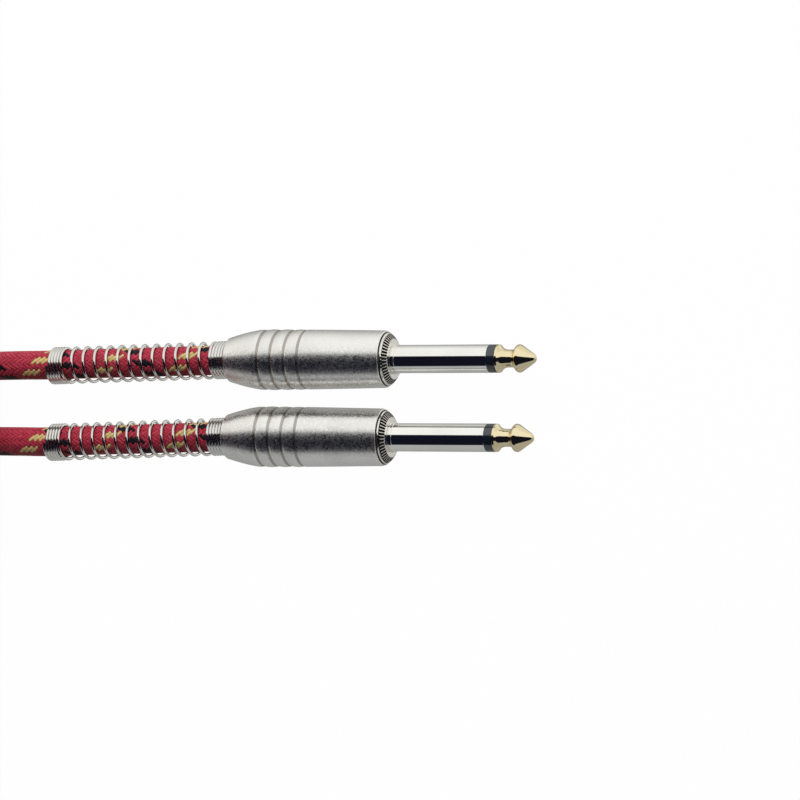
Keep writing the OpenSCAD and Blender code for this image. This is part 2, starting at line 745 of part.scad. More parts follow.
// The first point past the last far fold is where the cord leaves its top layer.
HANK_END = hank_loops - RUN_SHARE / 2;
HANK_LOOPS_PATH = [for (i = [0 : round(HANK_END * HANK_RINGS)]) hank_point(i / HANK_RINGS)];
HANK_START = HANK_LOOPS_PATH[0];
HANK_LAST = HANK_LOOPS_PATH[len(HANK_LOOPS_PATH) - 1];
HANK_PATH = concat(
    [HANK_START + [cable_d, 0, 0]],
    HANK_LOOPS_PATH,
    [HANK_LAST + [cable_d, LAST_INWARD, LAST_RISE]]
);

module cord_tube(path) {
    color([0.62, 0.12, 0.2])
        swept(path_rings(path, cable_r, CORD_SIDES));
}

// The cord of each plug: straight through its spring, along its chosen points,
// and face to face with an end of the hank.
function through_spring(place) =
    let (
        bend_x = shell_tail - lean_start,
        end_x = spring_back - travel - spring_past
    )
    concat(
        [place + [shell_tail, 0, 0]],
        [for (i = [0 : 3]) place + leaning([bend_x + i / 3 * (end_x - bend_x), 0, 0])]
    );
CORD_A = concat(through_spring(PLACE_A), CORD_A_POINTS, [HANK_PATH[0]]);
CORD_B = concat(through_spring(PLACE_B), CORD_B_POINTS, [HANK_PATH[len(HANK_PATH) - 1]]);

module hank() {
    color([0.62, 0.12, 0.2])
        swept(path_rings(HANK_PATH, cable_r, TUBE_SIDES));
}

// A square with rounded corners, at a distance outside the corners' centres.
module rounded(y0, z0, y1, z1, r) {
    translate([y0 - r, z0]) square([y1 - y0 + 2 * r, z1 - z0]);
    translate([y0, z0 - r]) square([y1 - y0, z1 - z0 + 2 * r]);
    for (y = [y0, y1], z = [z0, z1])
        translate([y, z]) circle(r);
}

module tie() {
    strand_room = cable_r + strap_gap;
    corner_r = strand_room + strap_ease;
    edge_u = strap_w / run_len;
    // Centres of the strap's corners, from the runs at the strap's edges.
    y1 = run_side(strand_step, edge_u) - strap_ease;
    y0 = strap_ease - run_side(1.5 * strand_step, edge_u);
    z0 = waist_lift + cable_r + strap_ease;
    z1 = waist_lift + cable_r + 3 * layer_pitch - strap_ease;
    color([0.1, 0.1, 0.11])
        translate([hank_x - strap_w / 2, 0, 0])
            rotate([90, 0, 90])
                linear_extrude(strap_w) {
                    difference() {
                        rounded(y0, z0, y1, z1, corner_r + strap_t);
                        rounded(y0, z0, y1, z1, corner_r);
                    }
                    translate([-strap_end / 2, z1 + corner_r + strap_t])
                        square([strap_end, strap_t]);
                }
}

echo(cord_length = path_length(CORD_A) + path_length(HANK_PATH) + path_length(CORD_B));
echo(hank_least_gap = least_apart(with_middles(HANK_PATH), 12) - cable_d);
echo(spring_least_gap = least_apart(with_middles(SPRING_PATH), 12) - wire_d);
echo(overall_length = path_length(CORD_A) + path_length(HANK_PATH) + path_length(CORD_B)
    + 2 * (shaft_reach - shell_tail));

// ======================= The two plugs' places =======================
module at_a() {
    translate(PLACE_A) children();
}

module at_b() {
    translate(PLACE_B) children();
}

at_a() tip_contact();  // tip_contact_a
at_a() tip_insulator();  // tip_insulator_a
at_a() rod_insulator();  // rod_insulator_a
at_a() shaft_sleeve();  // shaft_sleeve_a
at_a() knurled_collar();  // knurled_collar_a
at_a() rear_insulator();  // rear_insulator_a
at_a() tip_lug();  // tip_lug_a
at_a() cable_clamp();  // cable_clamp_a
at_a() shell();  // shell_a
at_a() insulating_tube();  // insulating_tube_a
at_a() spring();  // spring_a
at_a() jacket_end();  // jacket_end_a
at_a() shield_end();  // shield_end_a
at_a() core_end();  // core_end_a
at_a() conductor_end();  // conductor_end_a
at_a() tip_solder();  // tip_solder_a
at_a() earth_solder();  // earth_solder_a
at_b() tip_contact();  // tip_contact_b
at_b() tip_insulator();  // tip_insulator_b
at_b() rod_insulator();  // rod_insulator_b
at_b() shaft_sleeve();  // shaft_sleeve_b
at_b() knurled_collar();  // knurled_collar_b
at_b() rear_insulator();  // rear_insulator_b
at_b() tip_lug();  // tip_lug_b
at_b() cable_clamp();  // cable_clamp_b
at_b() shell();  // shell_b
at_b() insulating_tube();  // insulating_tube_b
at_b() spring();  // spring_b
at_b() jacket_end();  // jacket_end_b
at_b() shield_end();  // shield_end_b
at_b() core_end();  // core_end_b
at_b() conductor_end();  // conductor_end_b
at_b() tip_solder();  // tip_solder_b
at_b() earth_solder();  // earth_solder_b
cord_tube(CORD_A);  // cord_a
cord_tube(CORD_B);  // cord_b
hank();
tie();
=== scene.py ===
# %% [markdown]
# # An instrument cable: two screw-together plugs on one braided cable
#
# This lesson dresses a finished metal-and-plastic frame. The frame already knows where every
# piece of the real cable sits, down to the solder inside the plugs. It could be rendered as it
# comes, but turned parts would look faceted and the cable would have no braid, so each piece
# that can be seen is made again here, finely, in exactly the same place.

# %% Load the frame
import math
import bpy
import bmesh
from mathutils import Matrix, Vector


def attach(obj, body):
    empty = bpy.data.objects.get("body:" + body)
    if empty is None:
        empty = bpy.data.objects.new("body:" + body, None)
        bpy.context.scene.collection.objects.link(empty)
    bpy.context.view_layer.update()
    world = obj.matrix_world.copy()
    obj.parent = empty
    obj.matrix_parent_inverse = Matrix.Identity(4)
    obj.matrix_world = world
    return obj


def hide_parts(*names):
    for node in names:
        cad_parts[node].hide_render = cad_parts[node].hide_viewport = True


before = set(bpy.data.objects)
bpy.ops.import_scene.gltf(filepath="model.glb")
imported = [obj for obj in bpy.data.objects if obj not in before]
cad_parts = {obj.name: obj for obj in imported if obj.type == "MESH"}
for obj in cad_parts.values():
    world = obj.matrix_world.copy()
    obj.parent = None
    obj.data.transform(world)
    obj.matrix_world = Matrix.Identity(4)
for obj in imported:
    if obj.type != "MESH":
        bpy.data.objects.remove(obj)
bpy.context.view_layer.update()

# %% [markdown]
# ## Units and the places of the plugs
#
# Small hardware is thought of in millimetres, while Blender's unit is the metre. One number,
# MM, turns the first into the second wherever a size is written. Every place along a plug is
# measured from the front face of its collar, because that is the face a maker would set
# against a stop. X points to the tips, Y from plug b to plug a, and Z up.

# %% Units and places
MM = 0.001
AXIS_Z = 6.95
PLUG_SPACING, PLUG_B_BACK = 17.6, 0.6
FACE_X = 26.4525
FACE = {
    "a": Vector((FACE_X, PLUG_SPACING / 2, AXIS_Z)),
    "b": Vector((FACE_X - PLUG_B_BACK, -PLUG_SPACING / 2, AXIS_Z)),
}
SHELL_TAIL = -40.3

for plug, face in FACE.items():
    print("plug", plug, "collar face at", tuple(round(v, 2) for v in face), "mm")

# %% [markdown]
# ## The camera
#
# A long lens far away keeps the two plugs nearly the same size from end to end, so that they
# can be compared. The camera hangs over them and leans towards the tips, so that the collars'
# faces show. It could be aimed with a constraint, but three plain numbers say the same and are
# easier to change: how far it leans from straight above, a distance, and the point that it
# looks at.

# %% Camera
TILT = math.radians(21.5)
DISTANCE = 0.700
LOOK_AT = Vector((27.8, -0.4, AXIS_Z)) * MM

lens = bpy.data.cameras.new("camera")
lens.sensor_width = 36.0
lens.lens = 140.1
camera = bpy.data.objects.new("camera", lens)
camera.location = LOOK_AT + DISTANCE * Vector((math.sin(TILT), 0, math.cos(TILT)))
camera.rotation_euler = (0, TILT, 0)
bpy.context.scene.collection.objects.link(camera)
bpy.context.scene.camera = camera
print("camera at", tuple(round(v, 3) for v in camera.location), "m")

# %% [markdown]
# ## Tools for making a mesh
#
# Nearly everything on this cable is either turned on a lathe or drawn as a wire or tube. A
# screw modifier and a bevelled curve could make both. Plain mesh code is used instead, because
# it also writes the texture coordinates that the braid needs: one runs round the piece and
# the other along it.

# %% A mesh from points and faces
MERGE_CLOSER = 1e-7


def mesh_piece(name, points, faces, uvs=None, crease=35):
    """Make an object from points in millimetres, shaded smooth except over sharp edges."""
    mesh = bpy.data.meshes.new(name)
    mesh.from_pydata([Vector(p) * MM for p in points], [], faces)
    if uvs is not None:
        layer = mesh.uv_layers.new(name="round_and_along")
        for loop, uv in zip(layer.data, uvs):
            loop.uv = uv
    clean = bmesh.new()
    clean.from_mesh(mesh)
    bmesh.ops.remove_doubles(clean, verts=clean.verts, dist=MERGE_CLOSER)
    bmesh.ops.recalc_face_normals(clean, faces=clean.faces)
    clean.to_mesh(mesh)
    clean.free()
    mesh.shade_smooth()
    mesh.set_sharp_from_angle(angle=math.radians(crease))
    piece = bpy.data.objects.new(name, mesh)
    bpy.context.scene.collection.objects.link(piece)
    return piece


def faces_between(ring, next_ring, n):
    """The faces between two rings of n points, by the numbers of their corners."""
    return [(ring * n + i, ring * n + (i + 1) % n, next_ring * n + (i + 1) % n, next_ring * n + i)
            for i in range(n)]


print("two rings of 4 points are joined by", faces_between(0, 1, 4))


# %% A turned piece
def turned(name, face, outline, sides=96):
    """Turn a closed outline of (along, radius) points round a plug's axis."""
    points, faces, uvs = [], [], []
    n = len(outline)
    for s in range(sides):
        a = 2 * math.pi * s / sides
        points += [face + Vector((x, r * math.sin(a), r * math.cos(a))) for x, r in outline]
    for s in range(sides):
        for i, face_corners in enumerate(faces_between(s, (s + 1) % sides, n)):
            j = (i + 1) % n
            if outline[i][1] == 0 and outline[j][1] == 0:
                continue
            faces.append(face_corners)
            for side, k in ((s, i), (s, j), (s + 1, j), (s + 1, i)):
                uvs.append((side / sides, outline[k][0]))
    return mesh_piece(name, points, faces, uvs)


def corner(x, r, radius, start, stop, steps=5):
    """Points of a rounded corner, from one angle to another, about its middle."""
    angles = [math.radians(start + (stop - start) * i / steps) for i in range(steps + 1)]
    return [(x + radius * math.cos(a), r + radius * math.sin(a)) for a in angles]


print("a rounded corner has", len(corner(0, 0, 1, 0, 90)), "points")


# %% A drawn tube
def along_path(path):
    """The distance of each point of a path from its start."""
    run = [0.0]
    for p, q in zip(path, path[1:]):
        run.append(run[-1] + (q - p).length)
    return run


def frames_along(path, first_out):
    """At each point of a path: outward and sideways directions that don't twist."""
    frames, out = [], Vector(first_out)
    for i in range(len(path)):
        ahead = (path[min(i + 1, len(path) - 1)] - path[max(i - 1, 0)]).normalized()
        out = (out - ahead * out.dot(ahead)).normalized()
        frames.append((out, ahead.cross(out)))
    return frames


def drawn(name, path, radius, sides, frames, around=1.0, along=1.0, twist=0.0):
    """Sweep a round tube along a path. around and along scale its texture coordinates, and
    twist turns it about its middle by that angle from one end to the other."""
    points, faces, uvs = [], [], []
    run = along_path(path)
    for p, (out, side), far in zip(path, frames, run):
        for s in range(sides):
            a = 2 * math.pi * s / sides + twist * far / run[-1]
            points.append(p + radius * (math.cos(a) * out + math.sin(a) * side))
    for i in range(len(path) - 1):
        faces += faces_between(i, i + 1, sides)
        for s in range(sides):
            for ring, k in ((i, s), (i, s + 1), (i + 1, s + 1), (i + 1, s)):
                uvs.append((around * k / sides, along * run[ring]))
    for ring in (0, len(path) - 1):
        faces.append(tuple(ring * sides + s for s in range(sides)))
        uvs += [(0.0, along * run[ring])] * sides
    return mesh_piece(name, points, faces, uvs, crease=60)


def smooth(u):
    """A step from 0 to 1 with soft ends."""
    u = max(0.0, min(1.0, u))
    return u * u * (3 - 2 * u)


def rounded_path(stops, step):
    """A smooth curve through stops, with a point about every step of its length."""
    path = []
    gaps = [(q - p).length for p, q in zip(stops, stops[1:])]
    slopes = [(stops[1] - stops[0]) / gaps[0]]
    for i in range(1, len(stops) - 1):
        before = (stops[i] - stops[i - 1]) / gaps[i - 1]
        after = (stops[i + 1] - stops[i]) / gaps[i]
        slopes.append((before * gaps[i] + after * gaps[i - 1]) / (gaps[i] + gaps[i - 1]))
    slopes.append((stops[-1] - stops[-2]) / gaps[-1])
    for i, gap in enumerate(gaps):
        pieces = max(1, round(gap / step))
        for k in range(pieces):
            u = k / pieces
            path.append(
                stops[i] * (2 * u**3 - 3 * u**2 + 1) + slopes[i] * gap * (u**3 - 2 * u**2 + u)
                + stops[i + 1] * (3 * u**2 - 2 * u**3) + slopes[i + 1] * gap * (u**3 - u**2)
            )
    return path + [stops[-1]]


print("half-way up a soft step:", smooth(0.5))

# %% [markdown]
# ## The cable's route
#
# The cable is one length of something flexible: out of one plug, straight through its spring,
# down to the floor, round the loops of a hank, and back through the second spring. It could be
# a bevelled curve, but the braid has to keep its pattern along two metres, so the route is
# worked out first and a tube is drawn over it. A hank is how a cable of this length is put
# away: long loops, drawn in at the waist by a strap. Its loops come from a formula, where t
# counts loops. They lie in four layers, and each layer spirals out or in. RINGS is the number
# of steps in a loop, and each of its two straight runs takes four of them.

# %% The hank's sizes
CABLE_R = 3.4
CABLE_D = 2 * CABLE_R
STRAND_GAP, LAYER_GAP = 0.6, 0.8
STRAND_STEP, LAYER_STEP = CABLE_D + STRAND_GAP, CABLE_D + LAYER_GAP
LOOPS, PER_LAYER = 5.5, 1.5
RINGS = 24
RUN_SHARE = 4 / RINGS
RUN = 68.0
FOLD_RATIO = 2.95
FOLD_R = FOLD_RATIO * CABLE_D - STRAND_STEP / 4
WAIST_IN, WAIST_STEP = 5.0, 0.05
STRAP_T, STRAP_W, STRAP_GAP = 1.6, 18.0, 0.3
BESIDE_STRAP = 2.0
WAIST_LIFT, NEAR_LIFT = STRAP_T + STRAP_GAP, 7.8
HANK_FRONT = -75.0
WIDEST_FOLD = (PER_LAYER - 0.25) * STRAND_STEP
HANK_X = HANK_FRONT - CABLE_R - FOLD_R - WIDEST_FOLD - RUN / 2
ROUNDING = 1e-9
print("hank: middle at x", round(HANK_X, 1), "mm, inner fold", round(FOLD_RATIO * CABLE_D, 1))


# %% The hank's loops
def steps_out(t):
    """How many steps out from the innermost strand a strand lies."""
    return PER_LAYER - abs(t % (2 * PER_LAYER) - PER_LAYER)


def layer_at(t):
    """Which layer a strand lies in: it climbs along the run where the spiral turns back."""
    return sum(smooth((t - k * PER_LAYER + RUN_SHARE / 2) / RUN_SHARE) for k in (1, 2, 3))


def underside(x):
    """Height of the hank's underside: on the floor, over the strap, then over the leads."""
    past = STRAP_W / 2 + BESIDE_STRAP
    return (WAIST_LIFT * smooth((x + RUN / 2) / (RUN / 2 - past))
            + (NEAR_LIFT - WAIST_LIFT) * smooth((x - past) / (RUN / 2 + past)))


def run_side(out, u):
    """How far from the middle a run lies, from the waist (u = 0) to a fold (u = 1)."""
    return (FOLD_R + out * (1 + WAIST_STEP * math.sin(math.pi * u))
            - WAIST_IN * (1 + math.cos(math.pi * u)) / 2)


def hank_point(t):
    """The middle of the cable after t loops."""
    phase, half = t % 1, RUN_SHARE / 2
    out = STRAND_STEP * steps_out(t)
    if abs(phase - 0.5) <= half + ROUNDING:
        u, side = (phase - 0.5) / half, -1
    elif phase <= half + ROUNDING or phase >= 1 - half - ROUNDING:
        u, side = (-phase if phase < 0.5 else 1 - phase) / half, 1
    else:
        far = phase < 0.5
        share = (phase - (half if far else 0.5 + half)) / (0.5 - 2 * half)
        turn = (90 if far else -90) + 180 * share
        x = (-RUN / 2 if far else RUN / 2) + (FOLD_R + out) * math.cos(math.radians(turn))
        y = (FOLD_R + out) * math.sin(math.radians(turn))
        return Vector((HANK_X + x, y, CABLE_R + layer_at(t) * LAYER_STEP + underside(x)))
    x = u * RUN / 2
    return Vector((HANK_X + x, side * run_side(out, abs(u)),
                   CABLE_R + layer_at(t) * LAYER_STEP + underside(x)))


loops = [hank_point(i / RINGS) for i in range(round((LOOPS - RUN_SHARE / 2) * RINGS) + 1)]
print("hank:", len(loops), "stops, about", round(max(p.z for p in loops) + CABLE_R, 1), "mm high")

# %% [markdown]
# ## The leads
#
# Between each plug and the hank the cable lies as it falls. No formula knows that, so its
# points are listed: down to the floor, along it, and into the hank, one lead low and
# the other on top. Inside the spring the cable is straight and leans a little to one side.

# %% The leads from the plugs to the hank
LEAN_START = 0.6
CABLE_LEAN = {"a": math.tan(math.radians(1.2)), "b": math.tan(math.radians(1.75))}
STRAIGHT_AT = (0, LEAN_START, 8, 18, 28, 39, 48)
LEAD_A = [
    (-68, 7.78, 6.8), (-72, 7.74, 6.1), (-76, 7.7, 4.8), (-80, 7.66, 3.8), (-84, 7.6, 3.5),
    (-92, 7.7, 3.5), (-100, 8.5, 3.7), (-108, 9.9, 4.3), (-116, 11.5, 5.0), (-124, 12.9, 5.5),
]
LEAD_B = [
    (-68, -10.2, 6.8), (-72, -10.2, 6.1), (-76, -10.2, 4.8), (-80, -10.2, 3.8), (-84, -10.2, 3.5),
    (-90, -10.2, 3.8), (-95, -9.9, 4.8), (-100, -9.6, 6.3), (-105, -9.3, 8.6), (-110, -9.0, 11.3),
    (-115, -8.8, 14.2), (-120, -8.8, 17.3), (-125, -8.8, 20.3), (-130, -8.9, 23),
    (-135, -9.6, 25.3), (-140, -11.2, 27), (-145, -13.6, 28), (-150, -16.4, 28.3),
    (-155, -18.9, 28.1), (-160, -20.6, 27.5),
]


def leaning(p, lean):
    """Behind the shell, cable and spring lean a little to one side."""
    return p - Vector((0, max(0.0, SHELL_TAIL - LEAN_START - p.x) * lean, 0))


def lead(plug, stops):
    """Stops from a plug's tail, straight through its spring, and on to the hank."""
    straight = [FACE[plug] + leaning(Vector((SHELL_TAIL - x, 0, 0)), CABLE_LEAN[plug])
                for x in STRAIGHT_AT]
    return straight + [Vector(p) for p in stops]


into_hank = loops[0] + Vector((CABLE_D, 0, 0))
out_of_hank = loops[-1] + Vector((CABLE_D, 0.8, 0.5))
stops = lead("a", LEAD_A) + [into_hank] + loops + [out_of_hank] + lead("b", LEAD_B)[::-1]
route = rounded_path(stops, step=1.7)
print("cable:", round(along_path(route)[-1]), "mm from shell to shell in", len(route), "rings")

# %% [markdown]
# ## The cable itself
#
# A tube of round section is drawn along the route. It stands for the frame's three plain cable
# solids, and it runs its real length, from one shell's tail to the other.
# Its braid is counted in rows round it and strokes along it. The same patch of the pattern
# shows at both plugs, as on a cable cut from one braid, so the count is set at the far end
# too: the strokes are stretched by a hair, and the tube is twisted a little on its way.

# %% Count the braid
ROWS = 14
PATTERN_LENGTH = 19.05
STROKE = PATTERN_LENGTH / ROWS
TOP_ROW_AT_B, LAST_STROKE = 5.74, 10.0


def in_step(total, remainder, repeat):
    """The whole-pattern count nearest to a total that leaves this remainder."""
    return repeat * round((total - remainder) / repeat) + remainder


frames = frames_along(route, (0, 0, 1))
length = along_path(route)[-1]
strokes = in_step(length / STROKE, LAST_STROKE, ROWS)
last_out, last_side = frames[-1]
top_row = ROWS * math.atan2(last_side.z, last_out.z) / (2 * math.pi)
twist = (top_row - in_step(top_row, TOP_ROW_AT_B, ROWS)) * 2 * math.pi / ROWS
print("braid:", round(strokes), "strokes, twisted by", round(math.degrees(twist)), "degrees in all")

# %% Draw the cable
CABLE_SIDES = 32
cable = drawn("braided_cable", route, CABLE_R, CABLE_SIDES, frames, ROWS, strokes / length, twist)
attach(cable, "cable")
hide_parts("cord_a", "cord_b", "hank")
print("cable faces:", len(cable.data.polygons))

# %% [markdown]
# ## The strap round the hank
#
# A hook-and-loop strap goes once round the waist and closes on itself on top. It could be a
# solid ring, but the overlap is what makes it read as a strap, so one band is laid along a
# line that goes round and then climbs over its own start. The line is five straights and
# four bends, with enough sections in each bend to look round.

# %% The strap's line
STRAP_EASE = 0.4
STRAP_END = 26.0
START_IN = 3.0
ON_TOP = 20
strap_top = run_side(STRAND_STEP, STRAP_W / RUN) - STRAP_EASE
strap_low = STRAP_EASE - run_side(PER_LAYER * STRAND_STEP, STRAP_W / RUN)
strap_floor = WAIST_LIFT + CABLE_R + STRAP_EASE
strap_roof = WAIST_LIFT + CABLE_R + 3 * LAYER_STEP - STRAP_EASE
strap_round = CABLE_R + STRAP_GAP + STRAP_EASE + STRAP_T / 2


def strap_line():
    """Middle of the band as (y, z, outward y, outward z), once round and over its start."""
    line = []

    def straight(y0, z0, y1, z1, oy, oz, n):
        for i in range(n):
            u = i / n
            line.append((y0 + (y1 - y0) * u, z0 + (z1 - z0) * u, oy, oz))

    def bend(y, z, start, n=8):
        for i in range(n):
            a = math.radians(start + 90 * i / n)
            line.append((y + strap_round * math.cos(a), z + strap_round * math.sin(a),
                         math.cos(a), math.sin(a)))

    y0, y1, z0, z1 = strap_low, strap_top, strap_floor, strap_roof
    straight(STRAP_END / 2 - START_IN, z1 + strap_round, y0, z1 + strap_round, 0, 1, 14)
    bend(y0, z1, 90)
    straight(y0 - strap_round, z1, y0 - strap_round, z0, -1, 0, 10)
    bend(y0, z0, 180)
    straight(y0, z0 - strap_round, y1, z0 - strap_round, 0, -1, 16)
    bend(y1, z0, 270)
    straight(y1 + strap_round, z0, y1 + strap_round, z1, 1, 0, 10)
    bend(y1, z1, 0)
    straight(y1, z1 + strap_round, -STRAP_END / 2, z1 + strap_round, 0, 1, ON_TOP)
    line.append((-STRAP_END / 2, z1 + strap_round, 0, 1))
    return line


line = strap_line()
print("strap:", len(line), "sections round the hank")

# %% Lay the strap
CLIMB = 16
OVER_GAP = 0.05
END_TUCK = (0.97, 0.9, 0.78)
climb_from = len(line) - ON_TOP - CLIMB
band_points, band_faces = [], []
half_w, half_t, ease = STRAP_W / 2, STRAP_T / 2, 0.35
section = [(-half_w + ease, -half_t), (-half_w, -half_t + ease), (-half_w, half_t - ease),
           (-half_w + ease, half_t), (half_w - ease, half_t), (half_w, half_t - ease),
           (half_w, -half_t + ease), (half_w - ease, -half_t)]
for i, (y, z, oy, oz) in enumerate(line):
    lift = (STRAP_T + OVER_GAP) * smooth((i - climb_from) / CLIMB)
    left = len(line) - i
    tuck = END_TUCK[-left] if left <= len(END_TUCK) else 1.0
    for x, h in section:
        band_points.append((HANK_X + x * tuck, y + oy * (h + lift), z + oz * (h + lift)))
n = len(section)
for i in range(len(line) - 1):
    band_faces += faces_between(i, i + 1, n)
band_faces += [tuple(range(n)), tuple((len(line) - 1) * n + k for k in range(n))]
strap = mesh_piece("hook_and_loop_strap", band_points, band_faces, crease=50)
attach(strap, "cable")
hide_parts("tie")
print("strap: top at", round(max(p[2] for p in band_points), 1), "mm")

print("cord declared, measured along its middle:", round(length * MM, 3), "m")

# %% [markdown]
# ## The pieces that are turned on a lathe
#
# The tip, the insulating ring, the sleeve of the shaft, the collar and the shell all come off a
# lathe, so each is drawn as half a section and turned round the plug's axis. A lathe leaves
# no perfectly sharp edge, and an edge with no rounding catches no light, so the edges that
# show carry a small bevel.

# %% Sizes that the turned pieces share
ROD_R = 1.25
EDGE = 0.1
REACH = 33.8
RING_BACK, RING_FRONT = 22.9, 24.8
print("one plug is", round(REACH - SHELL_TAIL, 1), "mm from tip to tail")

# %% [markdown]
# ## The tip
#
# The tip is one rod with a shaped head: a short flange, a hollow that a spring contact clicks
# into, a neck, a rounded shoulder, a cone and a blunt nose. It could be modelled as a ball on a
# cone, but the arcs that blend the parts are what a socket grips, so each one is drawn.

# %% Turn the tips
BALL_R, BALL_ROUND, BALL_BACK = 3.15, 0.9, 3.9
NECK_R, NECK_ROUND, NECK_LEN = 2.0, 1.0, 0.9
FLANGE_LEN, HOLLOW_ROUND = 0.55, 2.2
NOSE_ROUND, CONE_ANGLE = 1.3, 33.6
RIVET_R = 1.8
LUG_BACK, ROD_BACK = -13.25, -13.75

rise = BALL_R - BALL_ROUND - NECK_R - NECK_ROUND
neck_x = REACH - BALL_BACK - math.sqrt((BALL_ROUND + NECK_ROUND) ** 2 - rise ** 2)
blend = math.degrees(math.atan2(-rise, neck_x - REACH + BALL_BACK))
tip_outline = (
    [(ROD_BACK, 0), (ROD_BACK, RIVET_R), (LUG_BACK, RIVET_R), (LUG_BACK, ROD_R)]
    + [(RING_FRONT, ROD_R), (RING_FRONT, BALL_R - EDGE)]
    + corner(RING_FRONT + EDGE, BALL_R - EDGE, EDGE, 180, 90, 3)[1:]
    + corner(RING_FRONT + FLANGE_LEN - EDGE, BALL_R - EDGE, EDGE, 90, 35, 3)
    + corner(neck_x - NECK_LEN, NECK_R + HOLLOW_ROUND, HOLLOW_ROUND, 225, 270, 10)
    + corner(neck_x, NECK_R + NECK_ROUND, NECK_ROUND, 270, blend + 180, 10)
    + corner(REACH - BALL_BACK, BALL_R - BALL_ROUND, BALL_ROUND, blend, 90 - CONE_ANGLE, 20)
    + corner(REACH - NOSE_ROUND, 0, NOSE_ROUND, 90 - CONE_ANGLE, 0, 12)
)
for plug, face in FACE.items():
    tip = turned(f"gold_tip_{plug}", face, tip_outline)
    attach(tip, "cable")
    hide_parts(f"tip_contact_{plug}")
print("tip outline:", len(tip_outline), "points")

# %% [markdown]
# ## The insulating ring
#
# A thin ring of dark plastic keeps the tip and the sleeve apart. It is a hair smaller than
# the metal on both sides, so it shows as a fine step rather than as a painted line.

# %% Turn the insulating rings
RING_R = 3.165
BORE_R = 2.1
PUSH_GAP = 0.02
SPIGOT_LENGTH = 1.2
SPIGOT_BACK = RING_BACK - SPIGOT_LENGTH
SPIGOT_R = BORE_R - PUSH_GAP
ring_outline = (
    [(SPIGOT_BACK, ROD_R + PUSH_GAP), (RING_FRONT, ROD_R + PUSH_GAP)]
    + corner(RING_FRONT - EDGE / 2, RING_R - EDGE / 2, EDGE / 2, 0, 90, 3)
    + corner(RING_BACK + EDGE / 2, RING_R - EDGE / 2, EDGE / 2, 90, 180, 3)
    + [(RING_BACK, SPIGOT_R), (SPIGOT_BACK, SPIGOT_R)]
)
for plug, face in FACE.items():
    ring = turned(f"insulating_ring_{plug}", face, ring_outline)
    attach(ring, "cable")
    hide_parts(f"tip_insulator_{plug}")
print("insulating ring:", round(RING_FRONT - RING_BACK, 2), "mm wide")

# %% [markdown]
# ## The sleeve
#
# The sleeve is the long bright tube of the shaft. It ends at the collar in a base ring a
# little wider than itself, runs on through the collar, and is flared at the back so that it
# can't be pulled out. One outline holds all of that, bore included.

# %% Turn the sleeves
SHAFT_R = 3.175
BASE_LEN, BASE_R, REAR_R = 1.0, 3.4, 3.76
PLATE_BACK, FLARE_BACK = -10.9, -11.25
sleeve_outline = (
    [(FLARE_BACK, BORE_R), (RING_BACK, BORE_R)]
    + corner(RING_BACK - EDGE, SHAFT_R - EDGE, EDGE, 0, 90, 4)
    + [(BASE_LEN + EDGE, SHAFT_R), (BASE_LEN, SHAFT_R + EDGE / 2)]
    + corner(BASE_LEN - EDGE, BASE_R - EDGE, EDGE, 0, 90, 4)
    + corner(EDGE, BASE_R - EDGE, EDGE, 90, 180, 4)
    + [(0, SHAFT_R), (PLATE_BACK, SHAFT_R), (PLATE_BACK, REAR_R), (FLARE_BACK, REAR_R)]
)
for plug, face in FACE.items():
    sleeve = turned(f"sleeve_{plug}", face, sleeve_outline)
    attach(sleeve, "cable")
    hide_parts(f"shaft_sleeve_{plug}")
print("sleeve outline:", len(sleeve_outline), "points")

# %% [markdown]
# ## The serrated collar
#
# The collar has a flat face, a cone with 44 straight serrations for the fingers, a polished
# band, and behind it the thread that the shell screws onto. A cutter could take the
# serrations out of a finished cone. It is quicker to move the points of the cone inwards
# where a serration is, and the same trick makes a true screw thread: the thread's height
# depends on the place along the axis less the angle round it.

# %% Turn a piece whose outline changes with the angle
def turned_with_teeth(name, face, outline, sides, shape):
    """Turn an outline, and let shape(x, r, share of a turn) move each of its points."""
    points, faces = [], []
    for s in range(sides):
        a = 2 * math.pi * s / sides
        for x, r in outline:
            r = shape(x, r, s / sides)
            points.append(face + Vector((x, r * math.sin(a), r * math.cos(a))))
        faces += faces_between(s, (s + 1) % sides, len(outline))
    return mesh_piece(name, points, faces, crease=30)


TEETH = 44
print("one serration every", round(360 / TEETH, 1), "degrees")

# %% Plan the collar
TOOTH_DEPTH = 0.22
COLLAR_R, KNURL_R, FACE_R, SLOT_R = 6.0, 5.65, 4.65, 5.7
KNURL_BACK, BAND_BACK, SEAT_BACK, THREAD_BACK = -0.85, -1.6, -3.2, -10.2
THREAD_R, THREAD_DEPTH, THREAD_PITCH, THREAD_RELIEF = 5.4, 0.35, 0.8, 0.6
ROOT_R = THREAD_R - THREAD_DEPTH
THREAD_STEP, THREAD_STEPS, CREST_WIDTH = 0.1, 69, 1.25
THREAD_SIDES = 8 * TEETH
NOTCH_SHARE, NOTCH_FADE = 0.36, 0.25
CONE_SWELL = ((0.05, 0.02), (0.15, 0.07), (NOTCH_FADE, 0.14))
FACE_BEVEL, FACE_EASE = 0.06, 0.05
BAND_FRONT, BAND_CORNER, BAND_EASE = BAND_BACK + 0.3, BAND_BACK + 0.24, 0.02
SLOT_FRONT, SLOT_BACK = BAND_BACK + 0.14, BAND_BACK - 0.35


